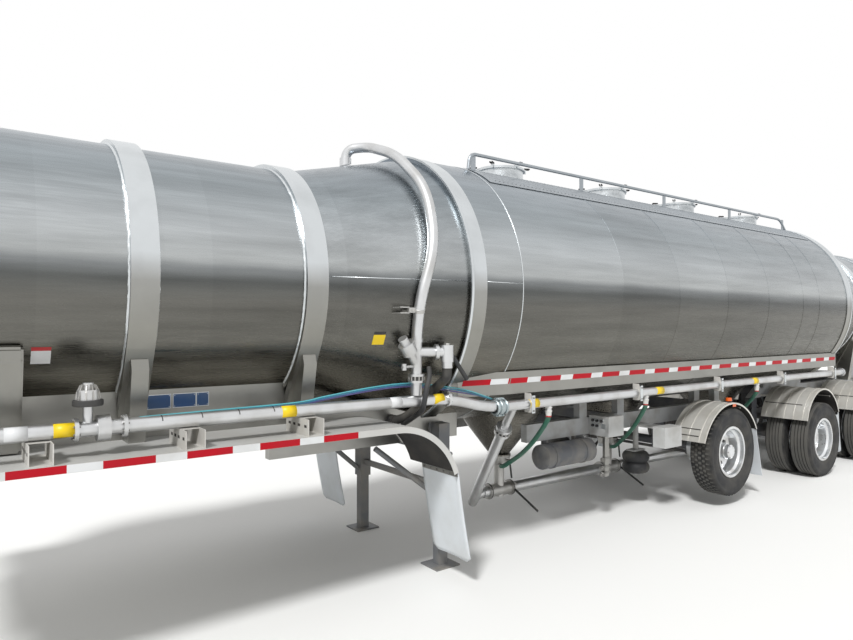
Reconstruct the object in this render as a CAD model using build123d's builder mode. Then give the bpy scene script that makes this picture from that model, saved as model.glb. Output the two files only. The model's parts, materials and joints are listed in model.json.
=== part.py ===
from build123d import *
import math
import os

os.makedirs("parts", exist_ok=True)

# Dry bulk tanker semi-trailer, millimetres.
# +X points to the front, +Y to the left side, +Z up; the origin is on the floor below the middle.

# Overall
nose_x = 7900.0
tail_x = -7900.0
deck_half_width = 1275.0

# Tank, one axis for every shell
tank_z = 2470.0
main_r = 1282.0
small_r = 985.0
cone_end_r = 1250.0
main_front_x = 3560.0
main_rear_x = -4070.0
front_cone_x = 4690.0
rear_cone_x = -5200.0
front_head_x = 7640.0
rear_head_x = -7480.0
front_head_depth = nose_x - front_head_x
rear_head_depth = 230.0
head_knuckle_r = 130.0
seam_x = (2965.0, 1550.0, 550.0, -470.0, -1470.0, -2450.0, -2960.0)
seam_w = 16.0
seam_h = 3.0
seat_gap = 0.3

# Ring bands at the two ends of the main barrel
band_w = 170.0
band_t = 9.0
band_lip_w = 24.0
band_lip_t = 16.0

# Hoops round the small barrels and their legs
front_hoop_x = (7155.0, 5975.0, 4795.0)
rear_hoop_x = (-5300.0, -6400.0, -7400.0)
hoop_w = 170.0
hoop_t = 35.0
hoop_leg_angle = 28.0
gusset_w = 104.0
gusset_top_z = 1925.0
gusset_foot_y = 800.0

# Front subframe and deck
deck_z = 1385.0
deck_t = 8.0
deck_lip_h = 47.0
deck_lip_t = 10.0
deck_rear_x = 4255.0
deck_fender_r = 600.0
deck_fender_angle = 72.0
side_plate_y = 620.0
side_plate_t = 12.0
coupler_z = 1240.0
coupler_t = 14.0
coupler_front_x = 7600.0
coupler_rear_x = 4690.0
kingpin_x = 6950.0
kingpin_r = 25.4
kingpin_collar_r = 36.5
kingpin_flange_r = 35.7
kingpin_collar_h = 36.0
kingpin_neck_h = 35.0
kingpin_flange_h = 14.0
gear_rail_y = 560.0
gear_rail_w = 80.0
gear_rail_z0 = 1120.0
gear_rail_x1 = 3150.0
cross_plate_x = (7590.0, 6500.0, 5400.0, 4700.0)
cross_plate_t = 10.0

# Landing gear
leg_x = 3400.0
leg_y = 670.0
leg_tube = 120.0
leg_inner_tube = 92.0
leg_top_z = 1270.0
leg_sleeve_z = 560.0
foot_l = 260.0
foot_w = 240.0
foot_t = 14.0
gear_shaft_z = 1010.0
gear_shaft_r = 22.0

# Hoppers and product line
hopper_x = (2050.0, 150.0, -2250.0)
hopper_tip_r = 100.0
hopper_tip_z = 720.0
hopper_half_angle = 37.5
product_z = 335.0
product_r = 62.0
product_front_x = 2300.0
product_rear_x = -7560.0
product_cap_l = 70.0
blow_r = 51.0
blow_top_r = 38.0
blow_foot = (2500.0, 60.0, 262.0)
blow_joint = (2795.0, 850.0, 1170.0)
blow_top_x = 2898.0
blow_coupling_r = 75.0
blow_coupling_half = 48.0
valve_r = 118.0
valve_h = 60.0
post_r = 55.0
tee_half = 175.0
tee_wall = 8.0
clamp_h = 22.0
clamp_w = 26.0
feed_r = 26.0
feed_start = (20.0, 30.0, 600.0)
feed_end = (80.0, 120.0, 620.0)
flange_r = 128.0
flange_t = 14.0

# Wheels and axles
tyre_r = 522.5
tyre_w = 276.0
tyre_bead_r = 286.0
tread_w = 226.0
rim_flange_r = 302.0
rim_w = 232.0
rim_t = 11.0
rim_offset = 171.0
dual_mid_y = 984.0
steer_y = 1155.0
tridem_x = (-3090.0, -4920.0, -6750.0)
steer_x = -550.0
steer_lift = 118.0
steer_z = tyre_r + steer_lift
axle_r = 63.5
spindle_r = 45.0
spindle_gap = 0.05
hub_r = 110.0
hub_cap_r = 82.0
drum_r = 212.0
drum_w = 190.0
hand_hole_r = 31.0
hand_hole_pcr = 205.0
hand_holes = 10
disc_t = 22.0

# Steering
kingpin_y = 715.0
steer_pin_r = 24.0
steer_pin_half = 105.0
knuckle_half = 70.0
steer_face_y = steer_y - rim_offset
steer_drum_y = 800.0
steer_cap_y = 1262.0
steer_bore_end = 1160.0
arm_x = -260.0
arm_y = 0.0
tie_rod_r = 19.0
ball_pin_r = 14.0

# Tridem frame
frame_rail_y = 500.0
frame_rail_w = 90.0
frame_rail_z0 = 1085.0
frame_rail_z1 = 1235.0
frame_front_x = -2470.0
frame_nose = 230.0
frame_rear_x = -7800.0
steer_rail_y = 600.0
steer_rail_w = 80.0
steer_rail_z0 = 960.0
steer_rail_z1 = 1140.0
steer_rail_front_x = 2270.0
steer_rail_rear_x = -1450.0
steer_post_x = (1400.0, 740.0, -860.0, -1350.0)
steer_cross_x = (1400.0, 740.0, -1300.0)
lift_bag_x = 400.0
lift_bag_z0 = 408.0
lift_bag_z1 = 667.0
lift_bag_r = 155.0
lift_plate_top = 683.0
pad_z0 = 1223.0
hanger_t = 7.0
bag_r = 140.0
bag_back = 330.0
hanger_ahead = 520.0
steer_hanger_ahead = 500.0
hanger_half = 70.0
arm_h = 90.0
arm_w = 70.0
arm_pin_r = 20.0
steer_arm_lift = 50.0

# Fenders of the wheels
dual_fender_r = 545.0
dual_fender_z = 700.0
steer_fender_r = 662.0
steer_fender_z = 560.0
fender_t = 6.0
fender_inner_y = 850.0
steer_flap_inner_y = 1000.0
dual_fender_inner_y = 640.0
dual_fender_front = 14.0
dual_fender_rear = 161.0
steer_fender_front = 22.0
steer_fender_rear = 153.0
fender_rib_pitch = 140.0
fender_rib_h = 4.0
stay_r = 11.0
stay_dx = 280.0
stay_y = 778.0
deck_flap_foot_x = 3548.0
deck_flap_foot_z = 213.0

# Air line along the left side
air_r = 44.5
air_y = 1100.0
air_front_z = 1545.0
air_rear_z = 1430.0
air_front_x = 7420.0
air_rear_x = -4150.0
riser_x = 3975.0
air_step_x = 3650.0
relief_x = 6304.0
wye_z = 1930.0
side_valve_x = 3740.0
side_valve_y = 1195.0
side_valve_r = 52.0
black_hose_r = 38.0
black_hose_end = (3880.0, 655.0, 1330.0)
drop_x = (2451.0, 929.0, -1500.0)
drop_end_z = 1355.0
drop_r = 28.0
green_hose_r = 23.0
hanger_x0 = 2720.0
hanger_pitch = 1625.0
hangers = 5

# Side rails under the main barrel
rail_top_z = 1730.0
rail_bottom_z = 1528.0
rail_y = 1062.0
rail_t = 6.0
rail_bend_x = 2900.0
rail_nose_x = 3480.0
rail_nose_y = 1010.0
rail_rear_x = -4060.0

# Top of the tank
manhole_x = (2030.0, 200.0, -1400.0, -3200.0)
manhole_r = 255.0
collar_wall = 8.0
collar_h = 105.0
collar_top_z = tank_z + main_r + collar_h
collar_flange_r = 277.0
collar_flange_t = 12.0
lid_r = 273.0
lid_t = 14.0
lid_crown = 34.0
lid_pin_r = 10.0
lid_hinge_y = -307.0
lever_turns = (30.0, 90.0, 150.0, 210.0, 330.0)
lid_hinge_z = collar_top_z + 14.0
walk_low_angle = 52.0
walk_high_angle = 72.0
walk_t = 4.0
walk_front_x = 2900.0
walk_rear_x = -3800.0
toe_rail_y = 450.0
toe_rail_z = 3835.0
toe_rail_r = 17.0
post_x0 = 2856.0
post_pitch = 1626.0
posts = 5

# Rear end
bumper_z0 = 480.0
bumper_h = 110.0
bumper_half = 1150.0
panel_half = 1100.0
panel_z0 = 1000.0
panel_h = 120.0
ladder_x = -7850.0
ladder_y = -560.0
ladder_half = 200.0
ladder_tube_r = 16.0
ladder_top_z = 3430.0
air_tank_x = -5835.0
air_tank_z = 930.0
air_tank_r = 110.0
side_tank_x0 = 1400.0
side_tank_x1 = 2130.0
side_tank_y = 700.0
side_tank_z = 810.0
side_tank_r = 125.0
side_tank_dome = 40.0
tool_box = (325.0, 650.0, 1000.0, 1150.0, 793.0, 1020.0)
control_box_x0 = 1040.0
control_box_x1 = 1300.0
control_box_y1 = 900.0
control_box_z0 = 950.0
control_box_z1 = 1165.0
hose_post_x = 1180.0
hose_post_y = 770.0
hose_post_z0 = 500.0
flap_t = 8.0
flap_foot_z = 255.0


def block(x0, x1, y0, y1, z0, z1, mode=Mode.ADD):
    """A box between two corners."""
    with Locations(((x0 + x1) / 2, (y0 + y1) / 2, (z0 + z1) / 2)):
        Box(abs(x1 - x0), abs(y1 - y0), abs(z1 - z0), mode=mode)


def rod(a, b, r, mode=Mode.ADD):
    """A round bar from point a to point b."""
    run = Vector(*b) - Vector(*a)
    with BuildSketch(Plane(origin=a, z_dir=run)) as section:
        Circle(r)
    extrude(section.sketch, amount=run.length, mode=mode)


def pipe(points, r):
    """A round tube along straight runs joined by bends."""
    radii = []
    for a, b, c in zip(points, points[1:], points[2:]):
        run, on = Vector(*b) - Vector(*a), Vector(*c) - Vector(*b)
        half = math.radians(run.get_angle(on)) / 2
        radii.append(0.45 * min(run.length, on.length) / math.tan(half))
    with BuildLine() as route:
        FilletPolyline(*points, radius=radii)
    with BuildSketch(Plane(origin=points[0], z_dir=Vector(*points[1]) - Vector(*points[0]))) as bore:
        Circle(r)
    sweep(bore.sketch, path=route.wire())


def tank_cut(r, x0=-8200.0, x1=8200.0):
    """Clears the round of a tank shell out of what seats on it."""
    rod((x0, 0, tank_z), (x1, 0, tank_z), r, mode=Mode.SUBTRACT)


def cone_cut(x0, r0, x1, r1):
    """Clears a cone of the tank."""
    with BuildSketch(Plane.XZ) as section:
        with BuildLine():
            Polyline((x0, tank_z), (x0, tank_z + r0), (x1, tank_z + r1), (x1, tank_z), close=True)
        make_face()
    revolve(section.sketch, axis=Axis((0, 0, tank_z), (1, 0, 0)), mode=Mode.SUBTRACT)


def clear_barrel():
    """Clears the main barrel and the rings of its seams."""
    tank_cut(main_r + seat_gap, main_rear_x, main_front_x)
    for x in seam_x:
        tank_cut(main_r + seam_h + seat_gap, x - seam_w / 2 - 1, x + seam_w / 2 + 1)


def clear_tank():
    """Clears the whole tank, with its seams and a seat gap."""
    clear_barrel()
    cone_cut(main_front_x - 1, main_r + seat_gap, front_cone_x, small_r + seat_gap)
    cone_cut(main_rear_x + 1, main_r + seat_gap, rear_cone_x, small_r + seat_gap)
    tank_cut(small_r + seat_gap)
    lip_r = main_r + band_lip_t + 2 * seat_gap
    tank_cut(lip_r, main_front_x - band_w - 2, main_front_x + 2)
    tank_cut(lip_r, main_rear_x - 2, main_rear_x + band_w + 2)


def finish(piece, label):
    """Labels a piece and writes its file."""
    piece.part.label = label
    export_step(piece.part, "parts/" + label + ".step")


def dome_mid(r, rise):
    """Radius and height of the point half-way along a dome's arc, from its rim at r to its crown."""
    crown_r = (r ** 2 + rise ** 2) / (2 * rise)
    half = math.asin(r / crown_r) / 2
    return crown_r * math.sin(half), rise - crown_r * (1 - math.cos(half))


def shell_end(x, depth):
    """Dished head, from its rim at x to its crown at x + depth, drawn above the tank's axis."""
    mid_r, mid_depth = dome_mid(small_r, abs(depth))
    mid_x = x + math.copysign(mid_depth, depth)
    return (x, tank_z + small_r), (mid_x, tank_z + mid_r), (x + depth, tank_z)


def end_shell(cone_x, cone_far_x, head_x, depth):
    """A small barrel with its dished head and the cone that joins it to the main barrel."""
    rim, mid, crown = shell_end(head_x, depth)
    with BuildSketch(Plane.XZ) as profile:
        with BuildLine():
            Polyline(crown, (cone_far_x, tank_z), (cone_far_x, tank_z + cone_end_r),
                     (cone_x, tank_z + small_r), rim)
            ThreePointArc(rim, mid, crown)
        make_face()
        corner = profile.vertices().sort_by_distance((rim[0], rim[1], 0))[0]
        fillet(corner, head_knuckle_r)
    revolve(profile.sketch, axis=Axis((0, 0, tank_z), (1, 0, 0)))


# Tank: the main barrel with its welded seams, and a cone, small barrel and dished head at each end
with BuildPart() as tank:
    with BuildSketch(Plane.XZ):
        with BuildLine():
            outline = [(main_front_x, tank_z), (main_front_x, tank_z + main_r)]
            for x in seam_x:
                outline.append((x + seam_w / 2, tank_z + main_r))
                outline.append((x + seam_w / 4, tank_z + main_r + seam_h))
                outline.append((x - seam_w / 4, tank_z + main_r + seam_h))
                outline.append((x - seam_w / 2, tank_z + main_r))
            outline.append((main_rear_x, tank_z + main_r))
            outline.append((main_rear_x, tank_z))
            Polyline(*outline, close=True)
        make_face()
    revolve(axis=Axis((0, 0, tank_z), (1, 0, 0)))
    end_shell(front_cone_x, main_front_x, front_head_x, front_head_depth)
    end_shell(rear_cone_x, main_rear_x, rear_head_x, -rear_head_depth)
finish(tank, "tank")

# Ring bands: a flat hoop with a thick rolled lip towards each cone
with BuildPart() as ring_bands:
    for x, way in ((main_front_x, -1), (main_rear_x, 1)):
        r0 = tank_z + main_r + seat_gap
        with BuildSketch(Plane.XZ):
            with BuildLine():
                Polyline((x, r0), (x, r0 + band_lip_t), (x + way * band_lip_w, r0 + band_lip_t),
                         (x + way * band_lip_w * 1.4, r0 + band_t), (x + way * band_w, r0 + band_t),
                         (x + way * band_w, r0), close=True)
            make_face()
        revolve(axis=Axis((0, 0, tank_z), (1, 0, 0)))
finish(ring_bands, "ring_bands")

# Hoops: a flat band round the small barrel that runs straight on, as a tangent, to the side plate
hoop_r = small_r + hoop_t
leg_turn = math.radians(hoop_leg_angle)
leg_top = (hoop_r * math.cos(leg_turn), tank_z - hoop_r * math.sin(leg_turn))
leg_run = (leg_top[0] - side_plate_y) / math.sin(leg_turn)
leg_end = (side_plate_y + seat_gap, leg_top[1] - leg_run * math.cos(leg_turn))


def hoop(x, foot_z):
    """One hoop with its two legs and the box gussets that stand on the deck."""
    with BuildSketch(Plane.YZ.offset(x - hoop_w / 2)) as band:
        with Locations((0, tank_z)):
            Circle(hoop_r)
            Circle(small_r + seat_gap, mode=Mode.SUBTRACT)
        for side in (1, -1):
            with BuildLine():
                Polyline((side * leg_top[0], leg_top[1]), (side * leg_end[0], leg_end[1]),
                         (side * leg_end[0], tank_z - small_r * math.cos(leg_turn)),
                         (side * small_r * 0.8, tank_z - small_r * 0.6), close=True)
            make_face()
    extrude(band.sketch, amount=hoop_w)
    inside = side_plate_y + seat_gap
    block(x - hoop_w, x + hoop_w, -inside, inside, foot_z, tank_z - small_r / 2, mode=Mode.SUBTRACT)
    with BuildSketch(Plane.YZ.offset(x - gusset_w / 2)) as gusset:
        for side in (1, -1):
            with BuildLine():
                Polyline((side * (side_plate_y + seat_gap), foot_z), (side * gusset_foot_y, foot_z),
                         (side * (leg_top[0] - 6), gusset_top_z - 70),
                         (side * (leg_top[0] - 30), gusset_top_z),
                         (side * (leg_top[0] - 70), gusset_top_z),
                         (side * (side_plate_y + seat_gap), leg_end[1] + 60), close=True)
            make_face()
    extrude(gusset.sketch, amount=gusset_w)


with BuildPart() as hoops:
    for x in front_hoop_x:
        hoop(x, deck_z + seat_gap)
    for x in rear_hoop_x:
        hoop(x, frame_rail_z1 + seat_gap)
    tank_cut(small_r + seat_gap)
    cone_cut(main_front_x, cone_end_r + seat_gap, front_cone_x, small_r + seat_gap)
finish(hoops, "hoops")

# Front subframe: coupler plate, kingpin, side plates, cross plates and the rails of the landing gear
with BuildPart() as front_subframe:
    plate_top = coupler_z + coupler_t
    block(coupler_rear_x, coupler_front_x, -side_plate_y, side_plate_y, coupler_z, plate_top)
    for side in (1, -1):
        block(coupler_rear_x, coupler_front_x, side * (side_plate_y - side_plate_t), side * side_plate_y,
              coupler_z, tank_z - small_r + 300)
        block(gear_rail_x1, coupler_rear_x + 300, side * (gear_rail_y - gear_rail_w / 2),
              side * (gear_rail_y + gear_rail_w / 2), gear_rail_z0, tank_z - small_r)
    for x in cross_plate_x:
        block(x - cross_plate_t / 2, x + cross_plate_t / 2, -side_plate_y, side_plate_y,
              coupler_z, tank_z - small_r + 300)
    for x in (gear_rail_x1 + 60, leg_x + 350):
        block(x - 40, x + 40, -gear_rail_y, gear_rail_y, gear_rail_z0, gear_rail_z0 + 50)
    clear_tank()
    for low, r in ((coupler_z - kingpin_collar_h, kingpin_collar_r),
                   (coupler_z - kingpin_collar_h - kingpin_neck_h, kingpin_r),
                   (coupler_z - kingpin_collar_h - kingpin_neck_h - kingpin_flange_h, kingpin_flange_r)):
        rod((kingpin_x, 0, low), (kingpin_x, 0, coupler_z + 1), r)
finish(front_subframe, "front_subframe")


def tube_leg(side):
    """One landing leg: the outer tube, the inner tube let down to the floor, and its foot."""
    y = side * leg_y
    half = leg_tube / 2
    inner = leg_inner_tube / 2
    block(leg_x - half, leg_x + half, y - half, y + half, leg_sleeve_z, leg_top_z)
    block(leg_x - inner, leg_x + inner, y - inner, y + inner, foot_t, leg_sleeve_z + 1)
    block(leg_x - foot_l / 2, leg_x + foot_l / 2, y - foot_w / 2, y + foot_w / 2, 0, foot_t)
    block(leg_x - half - 20, leg_x + half + 20, side * (gear_rail_y + gear_rail_w / 2 + seat_gap),
          side * (leg_y - half + 1), gear_rail_z0 + 10, gear_rail_z0 + 150)


# Landing gear: two legs, the cross shaft, the braces and the crank on the left leg
with BuildPart() as landing_gear:
    for side in (1, -1):
        tube_leg(side)
        rod((leg_x + 40, side * leg_y, leg_sleeve_z + 60), (leg_x + 620, side * gear_rail_y, gear_rail_z0 - 30),
            24)
    rod((leg_x, -leg_y, gear_shaft_z), (leg_x, leg_y + 150, gear_shaft_z), gear_shaft_r)
    rod((leg_x, leg_y + 135, gear_shaft_z + 12), (leg_x - 10, leg_y + 135, gear_shaft_z - 260), 13)
    rod((leg_x - 10, leg_y + 123, gear_shaft_z - 255), (leg_x - 10, leg_y + 240, gear_shaft_z - 255), 14)
    block(leg_x - 20, leg_x + 20, -leg_y, leg_y, leg_sleeve_z + 120, leg_sleeve_z + 170)
finish(landing_gear, "landing_gear")

# Deck over the wheels of the tractor: a flat plate with a lip, rolled down into a fender at its rear
with BuildPart() as deck_fenders:
    roll = math.radians(deck_fender_angle)
    roll_z = deck_z - deck_fender_r
    for side in (1, -1):
        inner_y = side_plate_y + seat_gap
        for depth, y0, y1 in ((deck_t, inner_y, deck_half_width),
                              (deck_lip_h, deck_half_width - deck_lip_t, deck_half_width)):
            outer, inner = deck_fender_r, deck_fender_r - depth
            start = (deck_rear_x - outer * math.sin(roll), roll_z + outer * math.cos(roll))
            end = (deck_rear_x - inner * math.sin(roll), roll_z + inner * math.cos(roll))
            half = roll / 2
            with BuildSketch(Plane.XZ.offset(-side * y0)) as section:
                with BuildLine():
                    Line((front_head_x, deck_z), (deck_rear_x, deck_z))
                    ThreePointArc((deck_rear_x, deck_z),
                                  (deck_rear_x - outer * math.sin(half), roll_z + outer * math.cos(half)),
                                  start)
                    Line(start, end)
                    ThreePointArc(end, (deck_rear_x - inner * math.sin(half),
                                        roll_z + inner * math.cos(half)), (deck_rear_x, deck_z - depth))
                    Line((deck_rear_x, deck_z - depth), (front_head_x, deck_z - depth))
                    Line((front_head_x, deck_z - depth), (front_head_x, deck_z))
                make_face()
            extrude(section.sketch, amount=-side * (y1 - y0))
finish(deck_fenders, "deck_fenders")

# Hoppers: cones that hang under the main barrel
with BuildPart() as hoppers:
    slope = math.tan(math.radians(hopper_half_angle))
    top_z = tank_z - main_r + 420
    top_r = hopper_tip_r + (top_z - hopper_tip_z) * slope
    for x in hopper_x:
        with BuildSketch(Plane.XZ):
            with BuildLine():
                Polyline((x, hopper_tip_z), (x + flange_r, hopper_tip_z), (x + flange_r, hopper_tip_z + flange_t),
                         (x + hopper_tip_r + flange_t * slope, hopper_tip_z + flange_t),
                         (x + top_r, top_z), (x, top_z), close=True)
            make_face()
        revolve(axis=Axis((x, 0, 0), (0, 0, 1)))
    clear_barrel()
finish(hoppers, "hoppers")

# Discharge: under each hopper a butterfly valve, a drop pipe and a tee round the product line
with BuildPart() as discharge_valves:
    valve_top = hopper_tip_z - flange_t
    valve_mid = valve_top - valve_h / 2
    lever_y = valve_r + 50
    for x in hopper_x:
        rod((x, 0, valve_top), (x, 0, hopper_tip_z), flange_r)
        rod((x, 0, valve_top - valve_h), (x, 0, valve_top), valve_r)
        rod((x, 0, product_z - product_r - tee_wall), (x, 0, valve_top - valve_h), post_r)
        rod((x - tee_half, 0, product_z), (x + tee_half, 0, product_z), product_r + tee_wall)
        for way in (1, -1):
            mid = x + way * (tee_half - clamp_w / 2)
            rod((mid - clamp_w / 2, 0, product_z), (mid + clamp_w / 2, 0, product_z), product_r + clamp_h)
        rod((x, 0, valve_mid), (x, lever_y + 15, valve_mid), 14)
        rod((x, lever_y, valve_mid + 6), (x - 30, lever_y, valve_mid - 190), 10)
        clamp_x = x - tee_half + clamp_w / 2
        rod((clamp_x, product_r, product_z), (clamp_x - 40, product_r + 330, product_z - 190), 12)
        rod((x + feed_start[0], feed_start[1], feed_start[2]), (x + feed_end[0], feed_end[1], feed_end[2]), feed_r)
    rod((product_rear_x - 300, 0, product_z), (product_front_x + 400, 0, product_z), product_r + seat_gap,
        mode=Mode.SUBTRACT)
finish(discharge_valves, "discharge_valves")

# Product line along the bottom with a capped coupling at its rear end
with BuildPart() as product_line:
    rod((product_rear_x, 0, product_z), (product_front_x, 0, product_z), product_r)
    for x in (product_rear_x, product_rear_x + 40):
        rod((x, 0, product_z), (x + 14, 0, product_z), product_r + 12)
    rod((product_rear_x - product_cap_l, 0, product_z), (product_rear_x, 0, product_z), product_r + 8)
    pipe([(product_front_x - 10, 0, product_z), (product_front_x + 90, 0, product_z - 20), blow_foot, blow_joint],
         blow_r)
    run = Vector(*blow_joint) - Vector(*blow_foot)
    half = run.normalized() * blow_coupling_half
    rod(tuple(Vector(*blow_joint) - half), tuple(Vector(*blow_joint) + half), blow_coupling_r)
    rod(blow_joint, (blow_top_x, air_y, air_rear_z), blow_top_r)
    rod((blow_top_x - 300, air_y, air_rear_z), (blow_top_x + 300, air_y, air_rear_z), air_r + seat_gap,
        mode=Mode.SUBTRACT)
finish(product_line, "product_line")

# Air line: front run on the deck, a gentle step down past the deck, and the rear run under the side rail
with BuildPart() as air_line:
    pipe([(air_front_x, air_y, air_front_z), (air_step_x, air_y, air_front_z),
          (air_step_x - 450, air_y, air_rear_z), (air_rear_x, air_y, air_rear_z)], air_r)
    for x, z in ((air_front_x, air_front_z), (6366, air_front_z), (6110, air_front_z),
                 (air_step_x + 20, air_front_z), (3080, air_rear_z), (air_rear_x + 10, air_rear_z)):
        rod((x - 11, air_y, z), (x + 11, air_y, z), air_r + 22)
    rod((6190, air_y, air_front_z), (6260, air_y, air_front_z), air_r + 30)
    for low, high, r in ((0, 140, 26), (135, 165, 79), (160, 225, 58), (220, 265, 30)):
        rod((relief_x, air_y, air_front_z + low), (relief_x, air_y, air_front_z + high), r)
    for x in drop_x:
        rod((x, air_y, drop_end_z), (x, air_y, air_rear_z), drop_r)
finish(air_line, "air_line")

# Riser: from the tee on the air line up and over the front cone to the top of the tank; its wye carries a
# relief valve towards the front and a hose valve with its lever towards the rear
with BuildPart() as air_riser:
    foot_z = air_front_z + air_r + seat_gap
    pipe([(riser_x, air_y, foot_z), (riser_x, air_y, wye_z + 110), (riser_x + 40, 1205, 2330),
          (3890, 1235, 2780), (3835, 1050, 3260), (3830, 590, 3640), (3860, 180, 3790), (3990, 0, 3785),
          (4000, 0, 3600)], air_r)
    for low, high, r in ((100, 118, air_r + 22), (118, 150, air_r + 12), (150, 168, air_r + 22)):
        rod((riser_x, air_y, foot_z + low), (riser_x, air_y, foot_z + high), r)
    rod((riser_x, air_y, wye_z + 80), (riser_x, air_y, wye_z + 112), air_r + 9)
    rod((riser_x, air_y, wye_z - 100), (riser_x + 85, air_y + 20, wye_z + 10), 34)
    rod((riser_x + 72, air_y + 17, wye_z - 4), (riser_x + 128, air_y + 30, wye_z + 70), 62)
    rod((riser_x + 128, air_y + 30, wye_z + 70), (riser_x + 160, air_y + 37, wye_z + 112), 38)
    rod((riser_x, air_y, wye_z - 110), (riser_x + 170, air_y + 50, wye_z - 110), 11)
    rod((riser_x + 150, air_y + 44, wye_z - 135), (riser_x + 150, air_y + 44, wye_z - 85), 20)
    rod((riser_x, air_y, wye_z), (side_valve_x, side_valve_y, wye_z), 40)
    rod((riser_x - 140, air_y + 57, wye_z), (riser_x - 165, air_y + 67, wye_z), 62)
    rod((side_valve_x, side_valve_y, wye_z - 80), (side_valve_x, side_valve_y, wye_z + 55), side_valve_r)
    rod((side_valve_x, side_valve_y, wye_z - 130), (side_valve_x, side_valve_y, wye_z - 80), black_hose_r + 6)
    rod((side_valve_x - 20, side_valve_y, wye_z + 10), (side_valve_x - 200, side_valve_y + 8, wye_z - 225), 13)
    rod((3996, 0, 3590), (3996, 0, 3700), air_r + 10)
    cone_cut(main_front_x, main_r + seat_gap, front_cone_x, small_r + seat_gap)
finish(air_riser, "air_riser")

# Hoses from the drops of the air line to the feed stubs under the hoppers
with BuildPart() as hoses:
    feed_run = (Vector(*feed_end) - Vector(*feed_start)).normalized()
    for drop, x in zip(drop_x, hopper_x):
        way = x - drop
        stub = Vector(x, 0, 0) + Vector(*feed_end)
        pipe([(drop, air_y, drop_end_z - seat_gap), (drop, air_y, drop_end_z - 75),
              (drop + way * 0.08, air_y - 90, drop_end_z - 170), (drop + way * 0.30, air_y - 310, 1000),
              (drop + way * 0.58, air_y - 600, 810), tuple(stub + feed_run * 130),
              tuple(stub + feed_run * seat_gap)], green_hose_r)
finish(hoses, "hoses")

# Hose from the hose valve of the riser, over the air line, to a fitting on the landing gear's rail
with BuildPart() as riser_hose:
    pipe([(side_valve_x, side_valve_y, wye_z - 130 - seat_gap), (side_valve_x, side_valve_y, wye_z - 205),
          (side_valve_x + 5, 1010, 1605), (3800, 900, 1465), (3855, 770, 1365), black_hose_end], black_hose_r)
    end_x, end_y, end_z = black_hose_end
    rod((end_x, gear_rail_y + gear_rail_w / 2 + seat_gap, end_z), (end_x, end_y + 12, end_z), black_hose_r + 8)
finish(riser_hose, "riser_hose")

# Brackets that carry the air line: channels on the deck and plates under the side rail
deck_bracket_x = (7335.0, 6550.0, 5740.0, 4930.0)
with BuildPart() as pipe_brackets:
    top_z = air_front_z - air_r - seat_gap
    for x in deck_bracket_x:
        block(x - 60, x + 60, 900, 1255, deck_z + seat_gap, deck_z + 6)
        for off in (-60, 54):
            block(x + off, x + off + 6, 900, 1255, deck_z + seat_gap, top_z)
        block(x - 60, x + 60, air_y - 45, air_y + 45, top_z - 6, top_z)
    for i in range(hangers):
        x = hanger_x0 - i * hanger_pitch
        with BuildSketch(Plane.YZ.offset(x - 5)) as plate:
            with BuildLine():
                Polyline((air_y - 40, rail_bottom_z - seat_gap), (air_y + 30, rail_bottom_z - seat_gap),
                         (air_y + 62, air_rear_z + 20), (air_y + 62, air_rear_z - 50),
                         (air_y + 30, air_rear_z - 75), (air_y - 40, air_rear_z - 75), close=True)
            make_face()
            with Locations((air_y, air_rear_z)):
                Circle(air_r + seat_gap, mode=Mode.SUBTRACT)
        extrude(plate.sketch, amount=10)
finish(pipe_brackets, "pipe_brackets")

# Side rails: plates that hang off the flanks of the main barrel, with a flange inside at the bottom
with BuildPart() as side_rails:
    for side in (1, -1):
        y0 = side * (rail_y - rail_t)
        block(rail_rear_x, rail_bend_x, y0, side * rail_y, rail_bottom_z, rail_top_z)
        block(rail_rear_x, rail_bend_x, side * (rail_y - 70), side * rail_y, rail_bottom_z, rail_bottom_z + rail_t)
        block(rail_rear_x, rail_bend_x, side * (rail_y - 60), side * rail_y, rail_top_z - rail_t, rail_top_z)
        with BuildSketch(Plane.XY.offset(rail_bottom_z)) as nose:
            with BuildLine():
                Polyline((rail_bend_x, side * rail_y), (rail_nose_x, side * rail_nose_y),
                         (rail_nose_x, side * (rail_nose_y - rail_t)), (rail_bend_x, y0), close=True)
            make_face()
        extrude(nose.sketch, amount=rail_top_z - rail_bottom_z)
    clear_tank()
finish(side_rails, "side_rails")


def wheel_plane(x, z):
    """Plane through a wheel's axle: its x runs to the left side, its y is the radius."""
    return Plane(origin=(x, 0, z), x_dir=(0, 1, 0), z_dir=(1, 0, 0))


def tyre(x, z, y):
    """One tyre of the wheel at x, centred on y."""
    bead = rim_w / 2 - rim_t - seat_gap
    side = tyre_w / 2
    edge = tread_w / 2 - 8
    with BuildSketch(wheel_plane(x, z)) as section:
        with BuildLine():
            Polyline((y + bead, rim_flange_r + 2), (y + bead, tyre_bead_r + seat_gap),
                     (y - bead, tyre_bead_r + seat_gap), (y - bead, rim_flange_r + 2))
            for way in (1, -1):
                ThreePointArc((y + way * bead, rim_flange_r + 2), (y + way * side, tyre_r - 118),
                              (y + way * (side - 20), tyre_r - 26))
                Line((y + way * (side - 20), tyre_r - 26), (y + way * edge, tyre_r - 4))
            ThreePointArc((y + edge, tyre_r - 4), (y, tyre_r), (y - edge, tyre_r - 4))
        make_face()
    revolve(section.sketch, axis=Axis((x, 0, z), (0, 1, 0)))


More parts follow.
